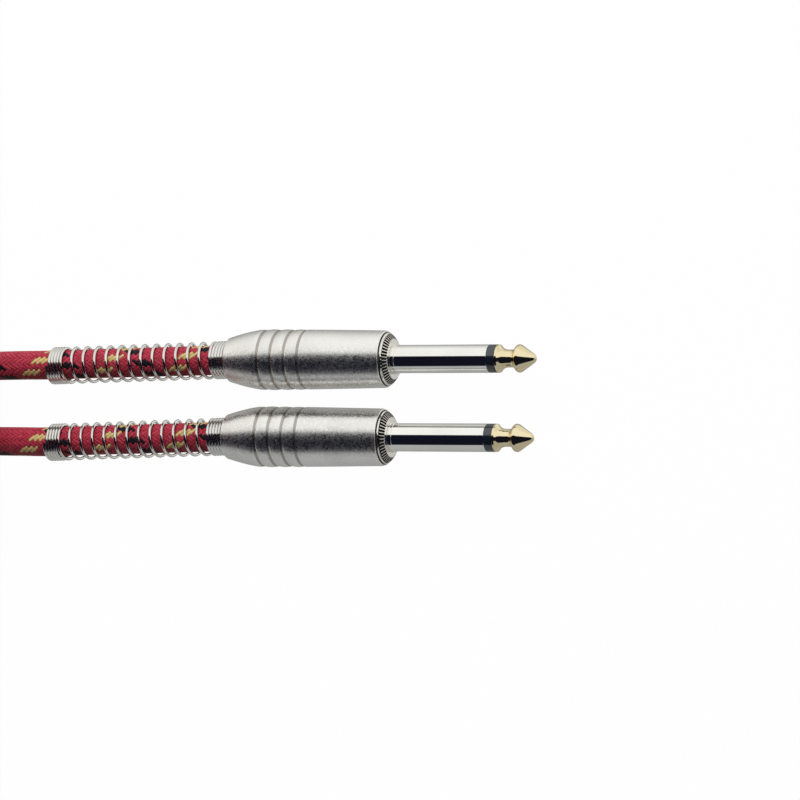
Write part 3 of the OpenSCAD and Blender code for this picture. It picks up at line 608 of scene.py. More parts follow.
def collar_shape(x, r, turn):
    """Serrations down the cone, and a screw thread behind the seat."""
    if x > KNURL_BACK - NOTCH_FADE and r > FACE_R - EDGE:
        across = abs((turn * TEETH + 0.5) % 1 - 0.5)
        notch = max(0.0, 1 - across / NOTCH_SHARE)
        fade = min(1.0, (x - KNURL_BACK + NOTCH_FADE) / NOTCH_FADE)
        return r - TOOTH_DEPTH * notch * fade
    if THREAD_BACK < x < SEAT_BACK and r > ROOT_R - 0.01:
        start = min(1.0, (SEAT_BACK - x) / THREAD_RELIEF, (x - THREAD_BACK) / THREAD_RELIEF)
        flank = abs(((SEAT_BACK - x) / THREAD_PITCH - turn) % 1 - 0.5) * 2
        return ROOT_R + THREAD_DEPTH * min(1.0, CREST_WIDTH * flank) * max(0.0, start)
    return r


thread_turns = (SEAT_BACK - THREAD_BACK) / THREAD_PITCH
print("collar:", TEETH, "serrations and", round(thread_turns, 1), "turns of thread")

# %% Turn the collars
collar_outline = (
    [(0, SHAFT_R + PUSH_GAP), (0, FACE_R - FACE_BEVEL), (-FACE_EASE, FACE_R)]
    + [(KNURL_BACK * u, FACE_R + (KNURL_R - FACE_R) * u) for u in (0.25, 0.5, 0.75, 0.94)]
    + [(KNURL_BACK - x, KNURL_R + r) for x, r in CONE_SWELL]
    + [(BAND_FRONT, COLLAR_R - BAND_EASE)]
    + corner(BAND_CORNER, COLLAR_R - EDGE, EDGE, 65, 170, 4)
    + [(SLOT_FRONT, SLOT_R), (SLOT_BACK, SLOT_R), (SLOT_BACK, COLLAR_R)]
    + [(SEAT_BACK, COLLAR_R), (SEAT_BACK, ROOT_R)]
    + [(SEAT_BACK - THREAD_STEP * i, ROOT_R) for i in range(1, THREAD_STEPS + 1)]
    + [(THREAD_BACK, ROOT_R), (THREAD_BACK, SHAFT_R + PUSH_GAP)]
)
for plug, face in FACE.items():
    collar = turned_with_teeth(f"serrated_collar_{plug}", face, collar_outline, THREAD_SIDES,
                               collar_shape)
    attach(collar, "cable")
    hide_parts(f"knurled_collar_{plug}")
print("collar outline:", len(collar_outline), "points")

# %% [markdown]
# ## The shell
#
# The shell is the handle of the plug: a long, faintly tapering barrel, four grooves with
# swelling ribs between them for grip, and a rounded tail that the spring comes out of. The
# ribs are barrel-shaped, not flat, and each groove leans back like a ratchet tooth, so the
# outline is worked out rib by rib. The tail is one curve, pulled towards a bend point.

# %% The shell's tail
TAIL_R, TAIL_ROUND, TAIL_HOLE_R = 5.22, 0.4, 4.62
TAIL_BEND, TAIL_DROP, TAIL_STEPS = 0.61, 0.4, 24
CONE_END = -32.3
RIB_R, RIB_SWELL = 6.95, 0.12


def tail_outline():
    """The rounded tail, from the spring's hole to the first groove."""
    start = Vector((SHELL_TAIL + TAIL_ROUND, TAIL_R))
    bend = Vector((SHELL_TAIL + TAIL_BEND * (CONE_END - SHELL_TAIL), RIB_R - TAIL_DROP))
    end = Vector((CONE_END, RIB_R - RIB_SWELL / 2))
    curve = [(1 - t) ** 2 * start + 2 * t * (1 - t) * bend + t * t * end
             for t in (i / TAIL_STEPS for i in range(TAIL_STEPS + 1))]
    rim = corner(SHELL_TAIL + TAIL_ROUND, TAIL_R - TAIL_ROUND, TAIL_ROUND, 180, 100, 6)
    return [(SHELL_TAIL, TAIL_HOLE_R)] + rim + [tuple(p) for p in curve]


print("tail:", len(tail_outline()), "points")

# %% The shell's grooves and ribs
GROOVES, GROOVE_X, GROOVE_PITCH = 4, -30.95, 3.3
GROOVE_W, GROOVE_DEPTH, GROOVE_LEAN = 0.7, 0.34, 0.7
FLOOR_WIDTH = 0.14
RIB_FALL, RIB_CREST, RIB_STEPS = 0.04, 1.35, 14
BARREL_R = 6.83
SOFT = 0.07


def rib_outline():
    """The four grooves, with a swelling rib in front of each but the last."""
    line = []
    for i in range(GROOVES):
        x = GROOVE_X + i * GROOVE_PITCH
        back, front = x - GROOVE_LEAN * GROOVE_W, x + (1 - GROOVE_LEAN) * GROOVE_W
        rib_before, rib_after = (RIB_R - RIB_FALL * k for k in (max(i - 1, 0), i))
        floor_r = rib_before - GROOVE_DEPTH
        edge = rib_before - RIB_SWELL
        line += [(back - SOFT, edge + SOFT / 4), (back, edge - SOFT / 3)]
        line += [(back + SOFT, edge - SOFT), (x - FLOOR_WIDTH, floor_r + SOFT)]
        line += [(x, floor_r), (x + SOFT / 2, floor_r + SOFT / 2)]
        if i == GROOVES - 1:
            line += [(front, BARREL_R - SOFT), (front + SOFT, BARREL_R - SOFT / 4)]
            break
        line += [(front - SOFT / 3, rib_after - RIB_SWELL - SOFT)]
        width = GROOVE_PITCH - GROOVE_W
        for k in range(1, RIB_STEPS):
            off = abs(2 * k / RIB_STEPS - 1)
            line.append((front + width * k / RIB_STEPS, rib_after - RIB_SWELL * off ** RIB_CREST))
    return line


print("grooves and ribs:", len(rib_outline()), "points")

# %% Turn the shells
TAPER_START, TAPER_MIDDLE = -21.05, -14.0
SHELL_FRONT, FRONT_R, FRONT_ROUND, FRONT_STEPS = -1.7, 6.5, 0.9, 10
MOUTH_R, MOUTH_BEVEL = 6.08, 0.1
SHELL_SEAT, THREAD_END, BORE_END, HOLE_FRONT = -3.3, -11.2, -34.1, -36.7
SHELL_BORE_R, THREAD_BORE_R = 5.5, THREAD_R + 0.05
SHELL_SIDES = 144

fall = (BARREL_R - FRONT_R) * (TAPER_MIDDLE - TAPER_START) / (SHELL_FRONT - TAPER_START)
rim_r = MOUTH_R + MOUTH_BEVEL
shell_outline = (
    tail_outline() + rib_outline() + [(TAPER_MIDDLE, BARREL_R - fall)]
    + [(SHELL_FRONT - FRONT_ROUND * (1 - math.sin(a)), rim_r + (FRONT_R - rim_r) * math.cos(a))
       for a in (math.radians(90 * i / FRONT_STEPS) for i in range(FRONT_STEPS + 1))]
    + [(SHELL_FRONT - MOUTH_BEVEL, MOUTH_R), (SHELL_SEAT, MOUTH_R), (SHELL_SEAT, THREAD_BORE_R)]
    + [(THREAD_END, THREAD_BORE_R), (THREAD_END, SHELL_BORE_R), (BORE_END, SHELL_BORE_R)]
    + [(HOLE_FRONT, TAIL_HOLE_R)]
)
for plug, face in FACE.items():
    shell = turned(f"ribbed_shell_{plug}", face, shell_outline, SHELL_SIDES)
    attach(shell, f"shell_{plug}")
    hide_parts(f"shell_{plug}")
print("shell outline:", len(shell_outline), "points")

# %% [markdown]
# ## The spring
#
# A strain-relief spring stops the cable from kinking where it leaves the plug. The real one
# is one wire: five close turns at its free end, thirteen open ones, close turns again at the
# shell, and a few turns inside, the last of which flare out and hold it. It could be drawn
# with an array of rings, but a real helix catches the light on a slant, so the wire is swept
# along one. Its stretches are written as pairs: how many turns, and their pitch.

# %% Plan the springs
WIRE_R, COIL_R = 0.35, 4.05
SPRING_END = -86.04
SPRING_LEAN = {"a": math.tan(math.radians(1.5)), "b": math.tan(math.radians(2.0))}
WIRE_STEPS, WIRE_SIDES = 24, 12
CLOSE, OPEN, INSIDE, SEATED = 0.73, 2.98, 2.1, 1.15
STRETCHES = [(5.0, CLOSE), (12.87, OPEN), (5.2, CLOSE), (3.0, INSIDE), (2.2, SEATED)]
FLARE_STEP, FLARE_TURNS = 0.62, 3


def pitch_at(turn):
    """The pitch at a turn. It changes softly, over half a turn, where two stretches meet."""
    pitch, edge = STRETCHES[0][1], 0.0
    for (turns, before), (_, after) in zip(STRETCHES, STRETCHES[1:]):
        edge += turns
        pitch += (after - before) * smooth((turn - edge) * 2 + 0.5)
    return pitch


def spring_line(face, lean):
    """Middle of the wire, from its free end into the shell."""
    turns = sum(n for n, _ in STRETCHES)
    line, x = [], SPRING_END
    for i in range(round(turns * WIRE_STEPS) + 1):
        turn = i / WIRE_STEPS
        x += pitch_at(turn) / WIRE_STEPS if i else 0.0
        r = COIL_R + FLARE_STEP * smooth(turn - turns + FLARE_TURNS)
        a = -2 * math.pi * turn
        line.append(face + leaning(Vector((x, r * math.sin(a), r * math.cos(a))), lean))
    return line


print("spring:", round(sum(n for n, _ in STRETCHES), 2), "turns")

# %% Wind the springs
for plug, face in FACE.items():
    line = spring_line(face, SPRING_LEAN[plug])
    spring = drawn(f"wire_spring_{plug}", line, WIRE_R, WIRE_SIDES, frames_along(line, (0, 0, 1)))
    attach(spring, f"relief_{plug}")
    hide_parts(f"spring_{plug}")
    print("spring", plug, "from", round(line[0].x - face.x, 1), "to", round(line[-1].x - face.x, 1))

# %% [markdown]
# ## Tools for finishes
#
# Every finish below is a small graph of nodes. The same few steps come back each time: add a
# node, join it to another, bend a number with a Math node, or turn a number into a colour.
# A helper for each keeps the finishes short enough to read. Numbers that are the same all
# over a piece are set straight on the shader, and only what varies gets nodes.

# %% Start a finish
def new_finish(name, metallic=0.0, roughness=0.5):
    """A material with one Principled shader, and how metallic and rough it is."""
    material = bpy.data.materials.new(name)
    material.use_nodes = True
    shader = material.node_tree.nodes["Principled BSDF"]
    shader.inputs["Metallic"].default_value = metallic
    shader.inputs["Roughness"].default_value = roughness
    return material, material.node_tree, shader


def add(tree, kind, **settings):
    """Add a node, and set its properties."""
    node = tree.nodes.new(kind)
    for property_name, value in settings.items():
        setattr(node, property_name, value)
    return node


def join(tree, value, socket):
    """Link a socket, or set a plain value."""
    if isinstance(value, bpy.types.NodeSocket):
        tree.links.new(value, socket)
    else:
        socket.default_value = value


def fed(tree, kind, values, **settings):
    """Add a node, join values to its sockets in order, and give back its first output."""
    node = add(tree, kind, **settings)
    for value, socket in zip(values, node.inputs):
        join(tree, value, socket)
    return node.outputs[0]


print("materials before the first finish:", len(bpy.data.materials))


# %% Numbers, vectors and colours
def calc(tree, operation, *values):
    """A Math node on sockets or numbers."""
    return fed(tree, "ShaderNodeMath", values, operation=operation)


def calc_vector(tree, operation, *values):
    """A Vector Math node on sockets or plain vectors."""
    return fed(tree, "ShaderNodeVectorMath", values, operation=operation)


def vector_of(tree, *numbers):
    """Three sockets or numbers as one vector."""
    return fed(tree, "ShaderNodeCombineXYZ", numbers)


def spread(tree, value, low, high, to_low=0.0, to_high=1.0, way="SMOOTHSTEP"):
    """Map a range of numbers onto another: with soft ends, or evenly if way is LINEAR."""
    ranges = (value, low, high, to_low, to_high)
    return fed(tree, "ShaderNodeMapRange", ranges, interpolation_type=way)


def blend_colours(tree, share, first, second, mode="MIX"):
    """A Mix node between two colours. Its colour sockets are numbers 6 and 7, and output 2."""
    node = add(tree, "ShaderNodeMix", data_type="RGBA", blend_type=mode)
    for value, number in ((share, 0), (first, 6), (second, 7)):
        join(tree, value, node.inputs[number])
    return node.outputs[2]


def srgb(r, g, b):
    """A colour as it is read off a screen, 0 to 255, as the shader wants it."""
    return tuple(c / 12.92 if c <= 0.04045 else ((c + 0.055) / 1.055) ** 2.4
                 for c in (r / 255, g / 255, b / 255)) + (1.0,)


print("a mid red on a screen is", tuple(round(c, 3) for c in srgb(165, 40, 60)))


# %% Grain, stripes and relief
MICRON = 0.000001


def place_on(tree):
    """Where a point lies on its object, in metres."""
    return add(tree, "ShaderNodeTexCoord").outputs["Object"]


def grain(tree, scale, detail=2.0, stretch=(1, 1, 1)):
    """Noise on the object, stretched along its axes."""
    noise = add(tree, "ShaderNodeTexNoise")
    join(tree, calc_vector(tree, "MULTIPLY", place_on(tree), stretch), noise.inputs["Vector"])
    noise.inputs["Scale"].default_value = scale
    noise.inputs["Detail"].default_value = detail
    return noise.outputs["Fac"]


def stripes(tree, direction, scale, distortion):
    """Even stripes across the object, a little distorted."""
    wave = add(tree, "ShaderNodeTexWave", bands_direction=direction)
    join(tree, place_on(tree), wave.inputs["Vector"])
    wave.inputs["Scale"].default_value = scale
    wave.inputs["Distortion"].default_value = distortion
    return wave.outputs["Fac"]


def raise_surface(tree, shader, height, distance):
    """Bump a shader by a height from 0 to 1, which stands for a distance in metres."""
    bump = add(tree, "ShaderNodeBump")
    bump.inputs["Distance"].default_value = distance
    join(tree, height, bump.inputs["Height"])
    join(tree, bump.outputs[0], shader.inputs["Normal"])


print("relief is written in microns of", MICRON, "m")

# %% [markdown]
# ## Plated metals
#
# Four platings meet on each plug: a pearly, blasted nickel on the shell, bright chrome on the
# sleeve and the spring, plain bright nickel on the collar, and pale gold on the tip. What tells
# them apart is mostly how sharply they mirror the room. Each one is a metal with its own tint
# and roughness, a little unevenness in that roughness from handling, and the marks of the
# lathe as a very shallow bump.

# %% Mix the plated metals
PATCHES_PER_M, PATCH_SHADE = 120.0, 0.965
LATHE_LINES = (14.0, 0.6, 0.6)


def tint_metal(tree, shader, tint):
    """Tint a metal, a trace darker in soft patches, and give back the patches."""
    patches = grain(tree, PATCHES_PER_M, 3.0)
    shaded = srgb(*(c * PATCH_SHADE for c in tint))
    tone = blend_colours(tree, spread(tree, patches, 0.3, 0.7), srgb(*tint), shaded)
    join(tree, tone, shader.inputs["Base Color"])
    return patches


def plated(name, tint, roughness, uneven=0.03, scale=900.0, depth=2 * MICRON, lines=False):
    """A plated metal: tint, roughness with a little variation, and shallow marks."""
    material, tree, shader = new_finish(name, metallic=1.0)
    patches = tint_metal(tree, shader, tint)
    join(tree, spread(tree, patches, 0.35, 0.65, roughness - uneven, roughness + uneven),
         shader.inputs["Roughness"])
    marks = grain(tree, scale, 4.0, LATHE_LINES if lines else (1, 1, 1))
    raise_surface(tree, shader, marks, depth)
    return material


FINISHES = {
    "chrome": plated("polished_chrome", (250, 250, 246), 0.05, 0.015, 700.0, 1.5 * MICRON, True),
    "spring_chrome": plated("spring_chrome", (236, 235, 232), 0.12, 0.02),
    "bright_nickel": plated("bright_nickel", (242, 240, 234), 0.17, 0.02, 700.0, lines=True),
    "gold_plate": plated("pale_gold_plate", (250, 236, 196), 0.08, 0.02, 700.0, lines=True),
    "tinned_metal": plated("tinned_metal", (205, 202, 196), 0.34, 0.06, 1500.0, 10 * MICRON),
    # Painted shade: the next two dark finishes stand in for the shadow in the collar's slot and
    # serrations.
    "recess": plated("slot_painted_shade", (134, 131, 123), 0.45, 0.1, 3000.0, 20 * MICRON),
    "notch_painted_shade": plated("notch_painted_shade", (40, 38, 35), 0.55, 0.1, 3000.0, 20 * MICRON),
}
print("plated metals:", ", ".join(FINISHES))

# %% [markdown]
# ## Blasted nickel
#
# The shell is blasted with tiny beads before it is plated, so its skin is a field of dents that
# each mirror a slightly different spot of the room. A bump of such fine noise averages out into
# an even satin. Here the cells of a Voronoi texture are the dents: each one gets its own
# sharpness and leans its own way by up to about a degree, so that the edge of every
# reflection turns grainy, as it does on the real one.

# %% Mix the blasted metals
DENTS_PER_M = 3100.0


def blasted(name, tint, dents_per_m, sharpest, dullest, tilt):
    """Metal blasted with beads and then plated: each dent has its own sharpness and lean."""
    material, tree, shader = new_finish(name, metallic=1.0)
    tint_metal(tree, shader, tint)
    dents = add(tree, "ShaderNodeTexVoronoi")
    join(tree, place_on(tree), dents.inputs["Vector"])
    dents.inputs["Scale"].default_value = dents_per_m
    chance = dents.outputs["Color"]
    first_chance = fed(tree, "ShaderNodeSeparateColor", (chance,))
    join(tree, spread(tree, first_chance, 0.0, 1.0, sharpest, dullest, "LINEAR"),
         shader.inputs["Roughness"])
    lean = calc_vector(tree, "MULTIPLY_ADD", chance, (tilt,) * 3, (-tilt / 2,) * 3)
    facing = add(tree, "ShaderNodeNewGeometry").outputs["Normal"]
    leaning_way = calc_vector(tree, "NORMALIZE", calc_vector(tree, "ADD", facing, lean))
    join(tree, leaning_way, shader.inputs["Normal"])
    return material


FINISHES["pearl_nickel"] = blasted("pearl_nickel", (252, 251, 248), DENTS_PER_M, 0.24, 0.42, 0.024)
# Painted shade: a darker copy of the blasted nickel stands in for the shadow on each groove's back
# wall.
FINISHES["groove"] = blasted("groove_painted_shade", (186, 183, 177), 3000.0, 0.24, 0.36, 0.024)
print("a dent is about", round(1 / DENTS_PER_M / MM, 2), "mm across")

# %% [markdown]
# ## Plastics, solder and bare copper
#
# These are the pieces inside the shell and the ring at the tip. They show when a plug is
# unscrewed, so they get finishes too: moulded plastic has a soft skin with fine pimples,
# solder freezes with a dull ripple, and the bare conductors are strands of twisted copper.
# The ring's plastic is polished, so its index of refraction is set high enough to mirror.

# %% Mix the plastics and the solder
def moulded(name, colour, roughness):
    """Moulded plastic: a colour that wanders a little, with a fine skin."""
    material, tree, shader = new_finish(name)
    wander = grain(tree, 300.0, 3.0)
    tone = blend_colours(tree, wander, srgb(*(c * 0.94 for c in colour)), srgb(*colour))
    join(tree, tone, shader.inputs["Base Color"])
    join(tree, spread(tree, wander, 0.3, 0.7, roughness - 0.05, roughness + 0.05),
         shader.inputs["Roughness"])
    raise_surface(tree, shader, grain(tree, 4000.0), 6 * MICRON)
    return material


def soldered(name):
    """Solder: dull metal with a frozen ripple."""
    material, tree, shader = new_finish(name, metallic=1.0)
    ripple = grain(tree, 1800.0, 5.0)
    tone = blend_colours(tree, ripple, srgb(150, 150, 154), srgb(205, 206, 210))
    join(tree, tone, shader.inputs["Base Color"])
    join(tree, spread(tree, ripple, 0.3, 0.7, 0.22, 0.45), shader.inputs["Roughness"])
    raise_surface(tree, shader, ripple, 40 * MICRON)
    return material


def stranded(name):
    """Bare copper strands, twisted round the axis of the cable."""
    material, tree, shader = new_finish(name, metallic=1.0)
    strands = stripes(tree, "DIAGONAL", 900.0, 0.6)
    tone = blend_colours(tree, strands, srgb(150, 82, 52), srgb(226, 150, 112))
    join(tree, tone, shader.inputs["Base Color"])
    join(tree, spread(tree, strands, 0.0, 1.0, 0.4, 0.24), shader.inputs["Roughness"])
    raise_surface(tree, shader, strands, 50 * MICRON)
    return material


FINISHES["black_insulator"] = moulded("black_insulator", (20, 27, 38), 0.14)
FINISHES["black_insulator"].node_tree.nodes["Principled BSDF"].inputs["IOR"].default_value = 1.9
FINISHES["white_plastic"] = moulded("white_plastic", (226, 224, 214), 0.42)
FINISHES["braid_cut"] = moulded("cut_jacket", (150, 30, 50), 0.6)
FINISHES["solder"] = soldered("solder")
FINISHES["copper"] = stranded("copper_strands")
print("finishes so far:", len(FINISHES))

# %% [markdown]
# ## The braid
#
# The jacket is woven, not printed: bundles of crimson yarn cross over and under each other,
# and their visible strokes stand in rows along the cable that lean one way and then the other,
# like a row of Vs. Where two rows meet, the ends of their strokes reach in between each other.
# Every so often a bundle is gold, or black. An image would repeat and blur. Here the texture
# coordinates count rows round the cable and strokes along it, so whole numbers name each
# stroke, and arithmetic on them picks its colour and its height.

# %% Count rows and strokes
STROKE_SLANT, INTERLOCK = 1.21, 0.17
ROW_SHIFT, STROKE_SHIFT = 1.63, 0.5


def count_strokes(tree):
    """Row and stroke numbers, and how far across each of them a point lies."""
    place = add(tree, "ShaderNodeSeparateXYZ")
    join(tree, add(tree, "ShaderNodeUVMap", uv_map="round_and_along").outputs[0], place.inputs[0])
    u = calc(tree, "ADD", place.outputs[0], ROW_SHIFT)
    v = calc(tree, "ADD", place.outputs[1], STROKE_SHIFT)
    edge_is_odd = calc(tree, "FLOORED_MODULO", calc(tree, "ROUND", u), 2.0)
    edge_lean = calc(tree, "MULTIPLY_ADD", edge_is_odd, 2.0, -1.0)
    phase = calc(tree, "MULTIPLY_ADD", edge_lean, STROKE_SLANT / 2, v)
    zigzag = calc(tree, "COSINE", calc(tree, "MULTIPLY", phase, 2 * math.pi))
    pushed = calc(tree, "MULTIPLY_ADD", calc(tree, "MULTIPLY", edge_lean, zigzag), INTERLOCK, u)
    row = calc(tree, "FLOOR", pushed)
    odd = calc(tree, "FLOORED_MODULO", row, 2.0)
    lean = calc(tree, "MULTIPLY_ADD", odd, -2.0, 1.0)
    off_row = calc(tree, "SUBTRACT", u, row)
    slant = calc(tree, "MULTIPLY_ADD", off_row, STROKE_SLANT, -STROKE_SLANT / 2)
    along = calc(tree, "MULTIPLY_ADD", odd, 0.5, calc(tree, "MULTIPLY_ADD", lean, slant, v))
    return {
        "row": row, "odd": odd, "across": calc(tree, "FRACT", pushed),
        "along": along, "stroke": calc(tree, "FLOOR", along), "into": calc(tree, "FRACT", along),
    }


print("a stroke leans by", STROKE_SLANT, "of its length across a row")

# %% Find the coloured bundles
REPEAT, FLOAT_LENGTH = 14, 3
GOLD_SHIFT, BLACK_SHIFT = 6.0, 0.0
BUNDLE_ROUND = 2.5


def is_float(tree, cell, odd, shift):
    """1 on the strokes where a coloured bundle shows: a helix among every other row."""
    turn = calc(tree, "MULTIPLY", cell["row"], -1.0 if odd else 1.0)
    step = calc(tree, "ADD", calc(tree, "ADD", cell["stroke"], turn), shift)
    place = calc(tree, "FLOORED_MODULO", step, float(REPEAT))
    near = calc(tree, "LESS_THAN", place, FLOAT_LENGTH - 0.5)
    same = calc(tree, "COMPARE", cell["odd"], 1.0 if odd else 0.0, 0.5)
    return calc(tree, "MULTIPLY", near, same)


def hump(tree, share):
    """A rounded profile: 0 at the edges of a stroke and 1 in its middle."""
    off = calc(tree, "SUBTRACT", calc(tree, "MULTIPLY", share, 2.0), 1.0)
    fall = calc(tree, "POWER", calc(tree, "ABSOLUTE", off), BUNDLE_ROUND)
    return calc(tree, "SUBTRACT", 1.0, fall)


print("a coloured bundle comes back every", round(REPEAT * STROKE, 1), "mm")

# %% Weave the braid
FIBRES_PER_STROKE, FIBRES_ACROSS, NEXT_ROW = 7.0, 1.6, 3.7
CRIMSON, CRIMSON_LIGHT, CRIMSON_FIBRE = srgb(134, 24, 42), srgb(156, 36, 54), srgb(180, 66, 82)
GOLD, GOLD_LIGHT = srgb(150, 118, 52), srgb(226, 204, 146)
BLACK, VALLEY_SHADE = srgb(16, 18, 26), srgb(40, 4, 12)


def braided(name):
    """Woven crimson yarn with gold and black bundles."""
    material, tree, shader = new_finish(name, roughness=0.62)
    shader.inputs["Specular IOR Level"].default_value = 0.3
    cell = count_strokes(tree)
    bundle = calc(tree, "MULTIPLY", hump(tree, cell["into"]), hump(tree, cell["across"]))
    fibres = add(tree, "ShaderNodeTexNoise")
    fibre_place = vector_of(tree, calc(tree, "MULTIPLY", cell["along"], FIBRES_PER_STROKE),
                            calc(tree, "MULTIPLY", cell["across"], FIBRES_ACROSS),
                            calc(tree, "MULTIPLY", cell["row"], NEXT_ROW))
    join(tree, fibre_place, fibres.inputs["Vector"])
    fibres.inputs["Scale"].default_value = 1.0
    fibres.inputs["Detail"].default_value = 2.0
    fibre = fibres.outputs["Fac"]
    chance = add(tree, "ShaderNodeTexWhiteNoise", noise_dimensions="2D")
    join(tree, vector_of(tree, cell["stroke"], cell["row"]), chance.inputs["Vector"])
    red = blend_colours(tree, chance.outputs["Value"], CRIMSON, CRIMSON_LIGHT)
    red = blend_colours(tree, spread(tree, fibre, 0.35, 0.7), red, CRIMSON_FIBRE)
    gold = blend_colours(tree, fibre, GOLD, GOLD_LIGHT)
    colour = blend_colours(tree, is_float(tree, cell, False, GOLD_SHIFT), red, gold)
    colour = blend_colours(tree, is_float(tree, cell, True, BLACK_SHIFT), colour, BLACK)
    # Painted shade: each stroke is darkened towards a deep red near its edges, where the bundles
    # dip under each other.
    painted_valley_shade = blend_colours(tree, 0.5, colour, VALLEY_SHADE)
    colour = blend_colours(tree, spread(tree, bundle, 0.0, 0.45), painted_valley_shade, colour)
    join(tree, colour, shader.inputs["Base Color"])
    height = calc(tree, "ADD", calc(tree, "MULTIPLY", calc(tree, "SQRT", bundle), 0.85),
                  calc(tree, "MULTIPLY", fibre, 0.15))
    raise_surface(tree, shader, height, 180 * MICRON)
    return material


FINISHES["braid"] = braided("crimson_braid")
print("braid nodes:", len(FINISHES["braid"].node_tree.nodes))

# %% [markdown]
# ## The strap's fabric
#
# A hook-and-loop strap is a dull nylon tape with a pile of tiny loops. Real loops would be
# thousands of hairs. At this size, a rough grey-black surface with two sizes of grain does it.

# %% Weave the strap
def looped_tape(name):
    """Dull black nylon with a pile of loops."""
    material, tree, shader = new_finish(name, roughness=0.9)
    pile = grain(tree, 2600.0, 4.0)
    ribs = stripes(tree, "X", 260.0, 0.5)
    tone = blend_colours(tree, spread(tree, pile, 0.35, 0.65), srgb(20, 20, 23), srgb(64, 64, 70))
    join(tree, tone, shader.inputs["Base Color"])
    height = calc(tree, "ADD", pile, calc(tree, "MULTIPLY", ribs, 0.35))
    raise_surface(tree, shader, height, 300 * MICRON)
    return material


FINISHES["strap"] = looped_tape("loop_tape")
print("finishes in all:", len(FINISHES))

# %% [markdown]
# ## Dress every piece
#
# The pieces made above and the hidden solids carried over from the frame take their finish
# from one table, keyed by the kind of material each of them is made of. The serrations, the
# slot and the grooves get a second, darker material on their faces. It is painted shade that
# stands in for the shadow in these hollows, and those faces are found by place and radius.

# %% Which finish goes where
MADE_OF = {
    "gold_tip": "gold_plate", "insulating_ring": "black_insulator", "sleeve": "chrome",
    "serrated_collar": "bright_nickel", "ribbed_shell": "pearl_nickel",
    "wire_spring": "spring_chrome",
}
CARRIED_OVER = {
    "rod_insulator": "white_plastic", "rear_insulator": "black_insulator",
    "tip_lug": "tinned_metal", "cable_clamp": "tinned_metal", "jacket_end": "braid_cut",
    "shield_end": "copper", "core_end": "white_plastic", "conductor_end": "copper",
    "tip_solder": "solder", "earth_solder": "solder", "insulating_tube": "white_plastic",
}


def dress(piece, finish):
    """Give a piece one finish."""
    piece.data.materials.clear()
    piece.data.materials.append(FINISHES[finish])


for plug in FACE:
    for name, finish in MADE_OF.items():
        dress(bpy.data.objects[f"{name}_{plug}"], finish)
    for name, finish in CARRIED_OVER.items():
        dress(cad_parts[f"{name}_{plug}"], finish)
dress(cable, "braid")
dress(strap, "strap")
print("dressed:", 2 * (len(MADE_OF) + len(CARRIED_OVER)) + 2, "pieces")


# %% Where a recess is
SKIN = 0.05
GROOVE_WALL = 0.5


def in_notch(x, r):
    """In a serration of the collar: under its cone, from the front edge to the band."""
    cone_r = FACE_R + (KNURL_R - FACE_R) * x / KNURL_BACK
    return KNURL_BACK - 0.2 < x < -SKIN and FACE_R - TOOTH_DEPTH < r < cone_r - 0.03


def in_slot(x, r):
    """In the slot between the collar's band and the shell."""
    return BAND_BACK - 0.4 < x < BAND_BACK + 0.2 and SLOT_R - 0.1 < r < COLLAR_R - SKIN


def in_groove(x, r):
    """On the back wall of one of the shell's grooves."""
    behind = (GROOVE_X - x) % GROOVE_PITCH
    grooved = GROOVE_X - 1 < x < GROOVE_X + GROOVES * GROOVE_PITCH - 3
    return r > SHELL_BORE_R + 0.3 and behind < GROOVE_WALL and grooved


print("just behind the first groove's floor is in a groove:", in_groove(GROOVE_X - SOFT, RIB_R))

# %% Darken the recesses
# Painted shade: the faces in a recess take a darker finish that stands in for the shadow falling
# there.
def darken(piece, face, finish, is_recess):
    """Put another finish on the faces whose place and radius pass a test, and count them."""
    piece.data.materials.append(FINISHES[finish])
    count = 0
    for polygon in piece.data.polygons:
        at = polygon.center / MM - face
        if is_recess(at.x, math.hypot(at.y, at.z)):
            polygon.material_index = len(piece.data.materials) - 1
            count += 1
    return count


for plug, face in FACE.items():
    collar = bpy.data.objects[f"serrated_collar_{plug}"]
    shell = bpy.data.objects[f"ribbed_shell_{plug}"]
    notches = darken(collar, face, "notch_painted_shade", in_notch)
    slots = darken(collar, face, "recess", in_slot)
    grooves = darken(shell, face, "groove", in_groove)
    print("plug", plug, "recess faces:", notches, "in notches,", slots, "in the slot,", grooves,
          "in grooves")

# %% [markdown]
# ## The room and the light
#
# Polished metal is a picture of its room. A plug that lies in a white tent mirrors one bright
# wall, one grey wall, and between them a dark band along its top, where the tent is open for
# the camera. Both walls fall off towards the table. The room is therefore written as a few
# broad areas by their direction round the plugs. Its two ends are areas too: the noses and
# the collars' faces mirror the low front end, and the round tails mirror the back one. A
# studio full of lamps and cards could do the same, but each reflection would have to be aimed
# by trial.

# %% Paint the room round the plugs
DARK_FROM, DARK_TO, EDGE_WIDTH = -60.5, 20.7, 4.0
LIT, OPENING, SHADED = srgb(249, 249, 246), srgb(17, 18, 31), srgb(172, 173, 173)
FADE_FROM, FADE_TO, LIT_FADE, SHADED_FADE = 75.0, 158.0, 0.34, 0.85

